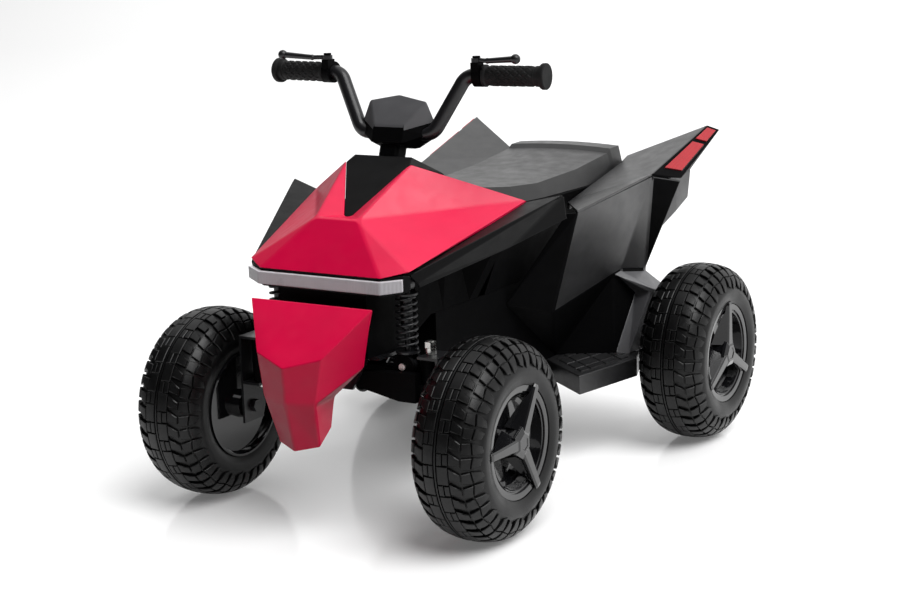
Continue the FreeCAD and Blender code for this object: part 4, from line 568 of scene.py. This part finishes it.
def tyre_point(distance):
    """Offset, radius and outward direction at a distance along the tyre's rounded outside."""
    line = [Vector(p) for p in [(-TYRE_LINE[1][0], TYRE_LINE[1][1])] + TYRE_LINE + [(0.050, 0.080)]]
    gone = 0.0
    for i in range(1, len(line) - 2):
        a, b, c, d = line[i - 1:i + 3]
        length = (c - b).length
        if distance <= gone + length or i == len(line) - 3:
            t = min(1.0, (distance - gone) / length)
            at = 0.5 * (2 * b + (c - a) * t + (2 * a - 5 * b + 4 * c - d) * t ** 2
                        + (3 * b - a - 3 * c + d) * t ** 3)
            way = 0.5 * ((c - a) + 2 * (2 * a - 5 * b + 4 * c - d) * t + 3 * (3 * b - a - 3 * c + d) * t ** 2)
            way.normalize()
            at.x = min(at.x, TYRE_LINE[4][0])
            return at, Vector((-way.y, way.x))
        gone += length


def on_tyre(share, distance, sink, pitches, flip):
    """Point over the tyre's outside: share of a pitch round it, distance from its middle, depth below it."""
    at, out = tyre_point(distance)
    at = at - out * sink
    angle = 2 * math.pi * share / pitches * flip
    return Vector((at.x * flip, at.y * math.cos(angle), at.y * math.sin(angle)))


# Depth of a block's top below the tyre's outside, and of its walls below the carcass.
TOP_SINK = 0.0001
WALL_SINK = 0.002


def tread_motif(sizes, material):
    """Blocks of one pitch on both sides, each with a chamfer and walls down into the carcass."""
    points = []
    faces = []
    cells = BLOCK_CELLS
    length = 2 * math.pi * TYRE_LINE[0][1] / sizes.pitches
    for flip in (1, -1):
        for corners in BLOCKS:
            middle = sum((Vector(c) for c in corners), Vector((0, 0))) / 4

            def spot(u, v, inset, sink):
                a, b, c, d = [Vector(p) for p in corners]
                at = a * (1 - u) * (1 - v) + b * u * (1 - v) + c * u * v + d * (1 - u) * v
                shrink = Vector((inset / length, inset))
                away = at - middle
                at = Vector((at.x - math.copysign(min(shrink.x, abs(away.x)), away.x),
                             at.y - math.copysign(min(shrink.y, abs(away.y)), away.y)))
                return on_tyre(at.x, at.y, sink, sizes.pitches, flip)

            start = len(points)
            grid = [(i / cells, j / cells) for i in range(cells + 1) for j in range(cells + 1)]
            for u, v in grid:
                on_rim = u in (0, 1) or v in (0, 1)
                points.append(spot(u, v, sizes.chamfer if on_rim else 0, TOP_SINK))
            for i in range(cells):
                for j in range(cells):
                    k = start + i * (cells + 1) + j
                    faces.append((k, k + 1, k + cells + 2, k + cells + 1))
            border = [(i, 0) for i in range(cells)] + [(cells, j) for j in range(cells)]
            border += [(cells - i, cells) for i in range(cells)] + [(0, cells - j) for j in range(cells)]
            top = [start + i * (cells + 1) + j for i, j in border]
            rings = []
            for sink in (sizes.chamfer, sizes.depth + WALL_SINK):
                rings.append(len(points))
                points += [spot(i / cells, j / cells, 0, sink) for i, j in border]
            count = len(border)
            for i in range(count):
                j = (i + 1) % count
                faces.append((top[i], top[j], rings[0] + j, rings[0] + i))
                faces.append((rings[0] + i, rings[0] + j, rings[1] + j, rings[1] + i))
    return mesh_piece("Tread motif", points, faces, material)


def carcass_profile(depth):
    """Closed section of the carcass: tread bed, shoulders, side walls, beads and the inside."""
    half = []
    reach = sum((Vector(b) - Vector(a)).length for a, b in zip(TYRE_LINE, TYRE_LINE[1:]))
    for i in range(CARCASS_STEPS + 1):
        distance = reach * i / CARCASS_STEPS
        sink = depth * min(1.0, max(0.0, (BARE_WALL - distance) / WALL_RISE))
        at, out = tyre_point(distance)
        at = at - out * sink
        half.append((at.x, at.y))
    bed = half[0][1]
    crest = bed + depth * RIDGE_HEIGHT
    ridge = [(0.0, crest), (RIDGE_TOP, crest), (RIDGE_FOOT, bed)]
    half = ridge + half[1:] + TYRE_INSIDE
    return half + [(-x, r) for x, r in half[-2:0:-1]]


class QUAD_OT_tyres(bpy.types.Operator):
    """Builds the four tyres: a carcass with a ring of tread blocks grown on it"""
    bl_idname = "quad.tyres"
    bl_label = "Tyres"

    def execute(self, context):
        sizes = context.scene.quad_tyres
        material = finishes(context)["Tyre rubber"]
        motif = tread_motif(sizes, material)
        ring = ring_tree()
        for end, side in WHEELS:
            node = "tyre_" + end + "_" + side
            centre = node_centre(node)
            points, faces = lathe(carcass_profile(sizes.depth), centre, sizes.steps)
            tyre = mesh_piece("Tyre." + end + "." + side, points, faces, material)
            inputs = {"Motif": motif, "Count": sizes.pitches, "Centre": centre, "Rubber": material}
            grow(tyre, ring, inputs)
            settle(smooth(tyre, TYRE_SHARP), body_of(node), "tyre", node)
        bpy.data.objects.remove(motif)
        return {"FINISHED"}


# The rim's section seen from its face: lip, groove, ring and dish, as (offset, radius) in metres.
RIM_FACE = [(0.0540, 0.0835), (0.0540, 0.0818), (0.0530, 0.0748), (0.0502, 0.0740), (0.0502, 0.0724),
            (0.0514, 0.0716), (0.0506, 0.0700), (0.0440, 0.0690), (0.0340, 0.0655), (0.0296, 0.0600),
            (0.0290, 0.0210), (0.0360, 0.0210), (0.0360, 0.0065)]
RIM_BACK = [(-0.0580, 0.0065), (-0.0580, 0.0210), (-0.0440, 0.0225), (-0.0440, 0.0760), (-0.0500, 0.0790),
            (-0.0540, 0.0800), (-0.0540, 0.0835)]
# The cap's hub from the pocket over the nut to the face, and its spokes along +Z seen from the face.
HUB_RINGS = [(0.0560, 0.0145), (0.0365, 0.0145), (0.0365, 0.0205), (0.0520, 0.0225), (0.0540, 0.0255),
             (0.0585, 0.0240), (0.0620, 0.0150), (0.0620, 0.0110), (0.0608, 0.0095)]
HUB_SIDES = 6
# Sections of a spoke: radius, half width of its top and its foot, offset of its top and its foot.
SPOKE_SECTIONS = [(0.0160, 0.0080, 0.0200, 0.0606, 0.0330), (0.0400, 0.0070, 0.0150, 0.0605, 0.0400),
                  (0.0640, 0.0062, 0.0105, 0.0603, 0.0490), (0.0725, 0.0060, 0.0085, 0.0602, 0.0543),
                  (0.0825, 0.0058, 0.0075, 0.0600, 0.0545), (0.0845, 0.0058, 0.0073, 0.0600, 0.0578),
                  (0.0885, 0.0050, 0.0066, 0.0588, 0.0579)]
SPOKE_BEVEL = 0.0012
SPOKE_SHOULDER = 0.0022
CAP_EDGE = 0.0007


def hub_cap(name, centre, side, turn, sizes, material):
    """Spoked cap: a hexagon hub with sloping faces and spokes with sloping flanks."""
    points = []
    faces = []

    def loft(sections):
        start = len(points)
        count = len(sections[0])
        for section in sections:
            points.extend(section)
        for k in range(start, len(points) - count, count):
            faces.extend(band(k, k + count, count))
        faces.append(tuple(range(start, start + count)))
        faces.append(tuple(range(len(points) - count, len(points))))

    angles = [turn + 2 * math.pi * (i + 0.5) / HUB_SIDES for i in range(HUB_SIDES)]
    loft([[Vector((offset, radius * math.sin(a), radius * math.cos(a))) for a in angles]
          for offset, radius in HUB_RINGS])
    for s in range(sizes.spokes):
        spin = Matrix.Rotation(turn + 2 * math.pi * s / sizes.spokes, 3, "X")
        sections = []
        for radius, top, foot, high, low in SPOKE_SECTIONS:
            half = [(low, foot), (high - SPOKE_SHOULDER, top + SPOKE_BEVEL), (high, top - SPOKE_BEVEL)]
            outline = [(offset, -across) for offset, across in half] + half[::-1]
            sections.append([spin @ Vector((offset, across, radius)) for offset, across in outline])
        loft(sections)
    points = [centre + Vector((p.x * side, p.y, p.z)) for p in points]
    return rounded(mesh_piece(name, points, faces, material), CAP_EDGE, 2, angle_limit=math.radians(20))


class QUAD_OT_wheels(bpy.types.Operator):
    """Builds the rims with their double ring and the three-spoke hub caps"""
    bl_idname = "quad.wheels"
    bl_label = "Rims and hub caps"

    def execute(self, context):
        sizes = context.scene.quad_wheels
        material = finishes(context)["Gloss black"]
        for end, side in WHEELS:
            way = 1 if side == "left" else -1
            rim_node = "rim_" + end + "_" + side
            cap_node = "hub_cap_" + end + "_" + side
            centre = node_centre(rim_node)
            profile = [(offset * way, radius) for offset, radius in RIM_FACE + RIM_BACK]
            points, faces = lathe(profile, centre, sizes.steps)
            rim = smooth(mesh_piece("Rim." + end + "." + side, points, faces, material), RIM_SHARP)
            settle(rim, body_of(rim_node), "gloss_black", rim_node)
            turn = math.pi / 2 if end == "front" else 0.0
            cap = hub_cap("Hub-cap." + end + "." + side, centre, way, turn, sizes, material)
            settle(cap, body_of(cap_node), "gloss_black", cap_node)
        return {"FINISHED"}


# The pod takes the paler moulding as a painted highlight.
PANELS = {
    "hood": "Pink moulding", "nose_guard": "Pink moulding", "hood_insert": "Black moulding",
    "light_bezel": "Black moulding", "tail_box": "Satin moulding", "bar_pod": "Pod moulding",
    **dict.fromkeys(both("front_fender"), "Black moulding"),
    **dict.fromkeys(both("rear_fender", "side_panel"), "Satin moulding"),
}
# Finishes that toned panels have after their own: matt moulding that also paints shade, and the paler
# moulding that paints highlights.
TONES = ("Matt moulding", "Pod moulding")
# Bounds in metres of the dark strip and of the painted shade and highlights: the lens strip's inner edge, the
# wheel guard's top and inner edge, the front return's rear edge and the rear edge's distance behind the rear
# rim. The pod's jaw, where its painted shade ends, rises to its ears.
STRIP_INSIDE = 0.225
GUARD_TOP = 0.288
GUARD_INSIDE = 0.187
RETURN_REAR = 0.048
EDGE_BEHIND = 0.115
FACING = 0.5
POD_JAW_Z = 0.578
POD_JAW_RISE = 0.13


def fender_tone(centre, normal):
    """Dark strip round the lenses on the satin fender."""
    return 1 if abs(normal.x) > FACING and abs(centre.x) > STRIP_INSIDE else 0


def panel_tone(centre, normal):
    """Satin facet with painted shade on the front return, the hollow and the guard's inner facet, a dark rear
    edge, and a painted highlight on the rest of the wheel guard.
    """
    if centre.z < GUARD_TOP:
        return 1 if abs(centre.x) < GUARD_INSIDE else 2
    rear_edge = centre.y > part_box("rim_rear_left")[0].y + EDGE_BEHIND
    return 1 if rear_edge or normal.y < -FACING or centre.y < RETURN_REAR else 0


def pod_tone(centre, normal):
    """Painted shade on the lower half, below the edge that rises from the pod's jaw to its ears; the upper
    half keeps its painted highlight.
    """
    return 1 if centre.z < POD_JAW_Z + POD_JAW_RISE * abs(centre.x) else 0


TONED = {"bar_pod": pod_tone, **dict.fromkeys(both("rear_fender"), fender_tone),
         **dict.fromkeys(both("side_panel"), panel_tone)}


def toned(piece, finish, tone):
    """Spreads the moulding's tones over the faces of a panel: painted shade, painted highlights and the
    fenders' dark strip.
    """
    for name in TONES:
        piece.data.materials.append(finish[name])
    for face in piece.data.polygons:
        face.material_index = tone(face.center, face.normal)


SLOTS = {"Pink moulding": "red_plastic", "Black moulding": "black_plastic", "Seat moulding": "black_plastic",
         "Satin moulding": "black_plastic", "Pod moulding": "black_plastic", "Light cover": "light_cover",
         "Red lens": "red_lens"}


class QUAD_OT_panels(bpy.types.Operator):
    """Rounds the creases and rims of the moulded body panels"""
    bl_idname = "quad.panels"
    bl_label = "Body panels"

    def execute(self, context):
        sizes = context.scene.quad_panels
        finish = finishes(context)
        for node, material in PANELS.items():
            panel = softened(node, title(node), finish[material], sizes.crease, sizes.rim, sizes.segments)
            if node in TONED:
                toned(panel, finish, TONED[node])
            settle(panel, body_of(node), SLOTS[material], node)
        return {"FINISHED"}


SEAT_CREASE_SHARE = 0.9


class QUAD_OT_seat(bpy.types.Operator):
    """Rounds the moulded seat"""
    bl_idname = "quad.seat"
    bl_label = "Seat"

    def execute(self, context):
        sizes = context.scene.quad_panels
        seat = softened("seat", "Seat", finishes(context)["Seat moulding"], sizes.crease * SEAT_CREASE_SHARE,
                        sizes.rim, sizes.segments, clamp=True)
        settle(seat, body_of("seat"), "black_plastic", "seat")
        return {"FINISHED"}


COVER_CREASE = 0.0015
COVER_RIM = 0.0008


class QUAD_OT_lights(bpy.types.Operator):
    """Rounds the front light's cover and the rear lenses"""
    bl_idname = "quad.lights"
    bl_label = "Lights"

    def execute(self, context):
        finish = finishes(context)
        for node, material in (("light_bar", "Light cover"), ("tail_lenses", "Red lens")):
            cover = softened(node, title(node), finish[material], COVER_CREASE, COVER_RIM, 3)
            settle(cover, body_of(node), SLOTS[material], node)
        return {"FINISHED"}


# A grip's outside from its inner end: collar, sleeve, flange and end cap, as (offset, radius) in metres.
GRIP_LINE = [(0.0000, 0.0115), (0.0000, 0.0158), (0.0012, 0.0170), (0.0045, 0.0170), (0.0056, 0.0158),
             (0.0070, 0.0146), (0.0860, 0.0146), (0.0870, 0.0156), (0.0950, 0.0158), (0.0958, 0.0190),
             (0.0975, 0.0199), (0.1028, 0.0199), (0.1040, 0.0188), (0.1040, 0.0060), (0.1034, 0.0)]
GRIP_STEPS = 64
GRIP_SHARP = 40
STUD_START = 0.0145
STUD_RUN = 0.0640
STUD_BASE_RADIUS = 0.0138
STUD_TOP_SHARE = 0.55
STUD_LENGTH = 0.0150
STUD_WIDTH = 0.0090


class QUAD_OT_grips(bpy.types.Operator):
    """Builds the rubber grips with rows of lozenges between their collars"""
    bl_idname = "quad.grips"
    bl_label = "Handlebar grips"

    def execute(self, context):
        sizes = context.scene.quad_grips
        material = finishes(context)["Grip rubber"]
        stud = lozenge_mesh("Stud", STUD_LENGTH, STUD_WIDTH, sizes.height, material)
        tree = scatter_tree()
        pieces = []
        for name, way in SIDES:
            frame_at = grip_frame(way)
            points, faces = lathe(GRIP_LINE, Vector((0, 0, 0)), GRIP_STEPS, closed=False)
            grip = mesh_piece("Grip." + name, [frame_at @ p for p in points], faces, material)
            spots = []
            for row in range(sizes.rows):
                along = STUD_START + STUD_RUN * row / (sizes.rows - 1)
                for i in range(sizes.around):
                    angle = 2 * math.pi * (i + row % 2 / 2) / sizes.around
                    out = Vector((0, math.cos(angle), math.sin(angle)))
                    turn = Matrix((Vector((1, 0, 0)), out.cross(Vector((1, 0, 0))), out)).transposed()
                    turn = frame_at.to_3x3() @ turn
                    at = frame_at @ (Vector((along, 0, 0)) + out * STUD_BASE_RADIUS)
                    spots.append((at, turn.to_euler()))
            studs = lozenges("Grip studs." + name, spots, tree, {"Lozenge": stud, "Finish": material})
            pieces += [smooth(grip, GRIP_SHARP), studs]
        bpy.data.objects.remove(stud)
        grips = joined("Handlebar-grips", pieces)
        settle(grips, body_of("handlebar_grips"), "grip_rubber", "handlebar_grips")
        return {"FINISHED"}


# Direction of the bar's left end, a grip's length and how far it reaches past the bar. The bar's end face is
# found by its rim, and its middle lies a little inside its outermost point.
BAR_RUN = Vector((125.0, 12.0, 0.0)).normalized()
GRIP_LENGTH = 0.1045
GRIP_PAST_BAR = 0.0082
BAR_RIM = 0.004
BAR_TILT = 0.001


def grip_frame(way):
    """Placement of a grip: X runs outwards along the bar from the grip's inner end."""
    start = bar_end() + BAR_RUN * (GRIP_PAST_BAR - GRIP_LENGTH)
    out = Vector((BAR_RUN.x * way, BAR_RUN.y, 0))
    up = Vector((0, 0, 1))
    side = up.cross(out)
    place = Matrix((out, side, up)).transposed().to_4x4()
    place.translation = Vector((start.x * way, start.y, start.z))
    return place


def bar_end():
    """Middle of the handlebar's left end."""
    points = [v.co for v in frame["nodes"]["handlebar"].data.vertices]
    reach = max(p.x for p in points)
    rim = [p for p in points if p.x > reach - BAR_RIM]
    low = Vector((min(p[i] for p in rim) for i in range(3)))
    high = Vector((max(p[i] for p in rim) for i in range(3)))
    return Vector((reach - BAR_TILT, (low.y + high.y) / 2, (low.z + high.z) / 2))


SPRING_WIRE = 0.0020
SPRING_TURNS = 8
STEPS_PER_TURN = 20


class QUAD_OT_springs(bpy.types.Operator):
    """Winds the two coil springs round the front dampers"""
    bl_idname = "quad.springs"
    bl_label = "Coil springs"

    def execute(self, context):
        material = finishes(context)["Painted steel"]
        for name, way in SIDES:
            node = "shock_spring_" + name
            low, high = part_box(node)
            middle = node_centre(node)
            radius = (high.y - low.y) / 2 - SPRING_WIRE
            line = bpy.data.curves.new("Spring line", "CURVE")
            line.dimensions = "3D"
            line.bevel_depth = SPRING_WIRE
            line.bevel_resolution = 3
            line.use_fill_caps = True
            count = SPRING_TURNS * STEPS_PER_TURN
            spline = line.splines.new("NURBS")
            spline.points.add(count)
            for i in range(count + 1):
                angle = 2 * math.pi * SPRING_TURNS * i / count
                x = middle.x + radius * math.cos(angle)
                y = middle.y + radius * math.sin(angle)
                z = low.z + SPRING_WIRE + (high.z - low.z - 2 * SPRING_WIRE) * i / count
                spline.points[i].co = (x, y, z, 1)
            spline.order_u = 4
            spline.use_endpoint_u = True
            coil = placed("Spring line", line)
            graph = context.evaluated_depsgraph_get()
            mesh = bpy.data.meshes.new_from_object(coil.evaluated_get(graph))
            bpy.data.objects.remove(coil)
            spring = placed("Coil-spring." + name, mesh)
            mesh.materials.clear()
            mesh.materials.append(material)
            mesh.shade_smooth()
            settle(spring, body_of(node), "black_metal", node)
            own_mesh(spring)
        return {"FINISHED"}


BOARD_CREASE_SHARE = 0.5
# Points this close to the board's top are on it, and corners are at least this far apart.
LEVEL = 0.0002
APART = 0.001
# Cells tried on each side of the board's front corner; those outside the board are dropped.
CELLS = range(-2, 8)
# Rings of a tile from its foot to its top: share of its outline, and height in tile heights.
TILE_RINGS = ((1.0, -1.0), (1.0, 0.4), (0.94, 1.0))
PEDAL_ROOM = 0.006


class QUAD_OT_boards(bpy.types.Operator):
    """Rounds the footboards and lays a tread of slanted tiles on them"""
    bl_idname = "quad.boards"
    bl_label = "Footboards"

    def execute(self, context):
        sizes = context.scene.quad_boards
        panel = context.scene.quad_panels
        material = finishes(context)["Satin moulding"]
        tiles = board_tiles(sizes)
        for name, way in SIDES:
            node = "footboard_" + name
            board = softened(node, "Footboard." + name, material, panel.crease * BOARD_CREASE_SHARE,
                             panel.rim, panel.segments)
            points = []
            faces = []
            for tile in tiles:
                if name == "left" or not under_pedal(tile):
                    add_tile(points, faces, tile, way, sizes)
            tread = mesh_piece("Board tread." + name, points, faces, material)
            settle(joined("Footboard." + name, [board, tread]), body_of(node), "black_plastic", node)
        return {"FINISHED"}


def board_outline():
    """Corners of the left footboard's flat top, in order round it."""
    low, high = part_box("footboard_left")
    points = [v.co for v in frame["nodes"]["footboard_left"].data.vertices if v.co.z > high.z - LEVEL]
    middle = sum(points, Vector((0, 0, 0))) / len(points)
    corners = []
    for p in points:
        if all((p - q).length > APART for q in corners):
            corners.append(p.copy())
    return sorted(corners, key=lambda p: math.atan2(p.y - middle.y, p.x - middle.x))


def clipped(shape, outline, margin):
    """The part of a flat shape inside a convex outline, the margin in from its edges."""
    for a, b in zip(outline, outline[1:] + outline[:1]):
        edge = (b - a).normalized()
        depths = [edge.x * (p.y - a.y) - edge.y * (p.x - a.x) - margin for p in shape]
        kept = []
        for i, point in enumerate(shape):
            j = (i + 1) % len(shape)
            if depths[i] >= 0:
                kept.append(point)
            if depths[i] * depths[j] < 0:
                kept.append(point.lerp(shape[j], depths[i] / (depths[i] - depths[j])))
        shape = kept
    return shape


def board_tiles(sizes):
    """Tiles of the left tread: cells between lines along the board's outer and front edges."""
    outline = board_outline()
    front = min(outline, key=lambda p: p.y)
    at = outline.index(front)
    along = (outline[(at + 1) % len(outline)] - front).normalized()
    across = (outline[at - 1] - front).normalized()
    gap = sizes.groove / 2
    tiles = []
    for i in CELLS:
        near, far = i * sizes.row + gap, (i + 1) * sizes.row - gap
        for j in CELLS:
            inner, outer = j * sizes.column + gap, (j + 1) * sizes.column - gap
            spans = [(near, inner), (far, inner), (far, outer), (near, outer)]
            tile = clipped([front + along * u + across * v for u, v in spans], outline, sizes.margin)
            if len(tile) > 2 and tile_width(tile) > 2 * sizes.groove:
                tiles.append(tile)
    return tiles


def tile_width(tile):
    """Least extent of a tile over its edges."""
    widths = []
    for a, b in zip(tile, tile[1:] + tile[:1]):
        edge = (b - a).normalized()
        widths.append(max(abs(edge.x * (p.y - a.y) - edge.y * (p.x - a.x)) for p in tile))
    return min(widths)


def add_tile(points, faces, tile, way, sizes):
    """Adds a raised tile with sloping flanks, mirrored where way is -1."""
    middle = sum(tile, Vector((0, 0, 0))) / len(tile)
    start = len(points)
    count = len(tile)
    for share, lift in TILE_RINGS:
        for p in tile:
            at = middle.lerp(p, share)
            points.append(Vector((at.x * way, at.y, at.z + lift * sizes.height)))
    for k in (start, start + count):
        faces += band(k, k + count, count)
    faces.append(tuple(range(start, start + count)))
    faces.append(tuple(range(start + 2 * count, start + 3 * count)))


def under_pedal(tile):
    """True if a tile's mirror image comes near the pedal on the right board."""
    low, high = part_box("accelerator_pedal")
    xs = [-p.x for p in tile]
    ys = [p.y for p in tile]
    clear_x = max(xs) < low.x - PEDAL_ROOM or min(xs) > high.x + PEDAL_ROOM
    return not (clear_x or max(ys) < low.y - PEDAL_ROOM or min(ys) > high.y + PEDAL_ROOM)


CARRIED = {
    "Matt moulding": ("chassis_tub", "body_core", "bar_stem", "battery", "control_box", "lever_clamps",
                      "gear_motors") + both("swing_arm"),
    # The pedal takes the paler moulding: painted light that lifts it out of the shade on the board.
    "Pod moulding": ("accelerator_pedal",),
    "Painted steel": ("handlebar", "steering_column", "front_subframe")
                     + both("knuckle", "tie_rod", "shock_body", "brake_lever", "shock_rod"),
    "Plated steel": ("rear_axle", "fasteners") + both("arm_bolts"),
    "Red lens": ("power_button",),
}


class QUAD_OT_carried(bpy.types.Operator):
    """Gives the frame, steering and running gear their finishes"""
    bl_idname = "quad.carried"
    bl_label = "Frame and running gear"

    def execute(self, context):
        finish = finishes(context)
        for name, nodes in CARRIED.items():
            for node in nodes:
                piece = frame["nodes"][node]
                for place in piece.material_slots:
                    place.material = finish[name]
        return {"FINISHED"}


FLOOR_HALF = 60.0
FLOOR_Z = -0.0005
LAMP_FROM = Vector((0.65, -0.15, 1.0))
LAMP_SPREAD = math.radians(48)
SENSOR_WIDTH = 36.0


class QUAD_OT_stage(bpy.types.Operator):
    """Sets the pale floor, the overhead light, the surrounding light and the camera"""
    bl_idname = "quad.stage"
    bl_label = "Stage"

    def execute(self, context):
        scene = context.scene
        stage = scene.quad_stage
        scene.view_settings.view_transform = "Standard"
        corners = [(x * FLOOR_HALF, y * FLOOR_HALF, FLOOR_Z) for x, y in ((-1, -1), (1, -1), (1, 1), (-1, 1))]
        floor = mesh_piece("Floor", corners, [(0, 1, 2, 3)], floor_material())
        surround(scene, stage.dark, stage.bright)
        broad = bpy.data.lights.new("Overhead light", "SUN")
        broad.energy = stage.key
        broad.angle = LAMP_SPREAD
        lamp = placed("Overhead light", broad)
        lamp.matrix_world = LAMP_FROM.to_track_quat("Z", "Y").to_matrix().to_4x4()
        camera = placed("Camera", bpy.data.cameras.new("Camera"))
        camera.data.lens = stage.lens
        camera.data.sensor_width = SENSOR_WIDTH
        camera.data.sensor_fit = "HORIZONTAL"
        turn = Matrix.Rotation(stage.heading, 4, "Z") @ Matrix.Rotation(math.pi / 2 - stage.pitch, 4, "X")
        turn = turn @ Matrix.Rotation(stage.roll, 4, "Z")
        camera.matrix_world = Matrix.Translation(stage.camera) @ turn
        scene.camera = camera
        return {"FINISHED"}


# Tone of the floor as a source of light on the object, and its own glow for the camera and in reflections.
FLOOR_DIM = 0.15
FLOOR_GLOW = 0.12
WHITE = (1, 1, 1, 1)


def floor_material():
    """White floor that takes the object's shadow and throws little light back up at it."""
    material, nodes, links, shader = new_material("Pale floor")
    path = nodes.new("ShaderNodeLightPath")
    seen = path.outputs["Is Camera Ray"]
    for ray in ("Is Glossy Ray", "Is Transmission Ray"):
        either = nodes.new("ShaderNodeMath")
        either.operation = "MAXIMUM"
        links.new(seen, either.inputs[0])
        links.new(path.outputs[ray], either.inputs[1])
        seen = either.outputs["Value"]
    blend = nodes.new("ShaderNodeMix")
    blend.data_type = "RGBA"
    preset(blend, {"A": (FLOOR_DIM, FLOOR_DIM, FLOOR_DIM, 1), "B": WHITE})
    links.new(seen, blend.inputs["Factor"])
    links.new(blend.outputs["Result"], shader.inputs["Base Color"])
    glow = nodes.new("ShaderNodeMath")
    glow.operation = "MULTIPLY"
    glow.inputs[1].default_value = FLOOR_GLOW
    links.new(seen, glow.inputs[0])
    links.new(glow.outputs["Value"], shader.inputs["Emission Strength"])
    preset(shader, {"Emission Color": WHITE, "Roughness": 0.12, "Specular IOR Level": 0.2})
    return material


# Middle of the bright part of the surround, and the cosines from it between which the light fades.
BRIGHT_WAY = Vector((0.2, 0.72, 0.66)).normalized()
FADE_END = 0.2
FADE_START = 0.65


def surround(scene, dark, bright):
    """Studio light that is bright above and behind the object and dark on the camera's side."""
    world = bpy.data.worlds.new("Surround")
    scene.world = world
    world.use_nodes = True
    nodes, links = world.node_tree.nodes, world.node_tree.links
    plain = nodes["Background"]
    preset(plain, {"Color": WHITE})
    place = nodes.new("ShaderNodeTexCoord")
    facing = nodes.new("ShaderNodeVectorMath")
    facing.operation = "DOT_PRODUCT"
    facing.inputs[1].default_value = BRIGHT_WAY
    span = nodes.new("ShaderNodeMapRange")
    span.interpolation_type = "SMOOTHSTEP"
    preset(span, {"From Min": FADE_END, "From Max": FADE_START, "To Min": dark, "To Max": bright})
    links.new(place.outputs["Generated"], facing.inputs[0])
    links.new(facing.outputs["Value"], span.inputs["Value"])
    links.new(span.outputs["Result"], plain.inputs["Strength"])


OPERATORS = (QUAD_OT_panels, QUAD_OT_seat, QUAD_OT_lights, QUAD_OT_tyres, QUAD_OT_wheels, QUAD_OT_grips,
             QUAD_OT_springs, QUAD_OT_boards, QUAD_OT_carried, QUAD_OT_stage)


class QUAD_PT_finish(bpy.types.Panel):
    bl_label = "Quad bike"
    bl_idname = "QUAD_PT_finish"
    bl_space_type = "VIEW_3D"
    bl_region_type = "UI"
    bl_category = "Quad bike"

    def draw(self, context):
        for name in GROUPS:
            box = self.layout.box()
            group = getattr(context.scene, name)
            for prop in group.bl_rna.properties:
                if prop.identifier not in ("rna_type", "name"):
                    box.prop(group, prop.identifier)
        for operator in OPERATORS:
            self.layout.operator(operator.bl_idname)


def register():
    for name, group in GROUPS.items():
        bpy.utils.register_class(group)
        setattr(bpy.types.Scene, name, PointerProperty(type=group))
    for item in OPERATORS + (QUAD_PT_finish,):
        bpy.utils.register_class(item)


def unregister():
    for item in (QUAD_PT_finish,) + OPERATORS[::-1]:
        bpy.utils.unregister_class(item)
    for name, group in GROUPS.items():
        delattr(bpy.types.Scene, name)
        bpy.utils.unregister_class(group)


def main():
    register()
    for operator in OPERATORS:
        group, name = operator.bl_idname.split(".")
        getattr(getattr(bpy.ops, group), name)()


if __name__ == "__main__":
    main()
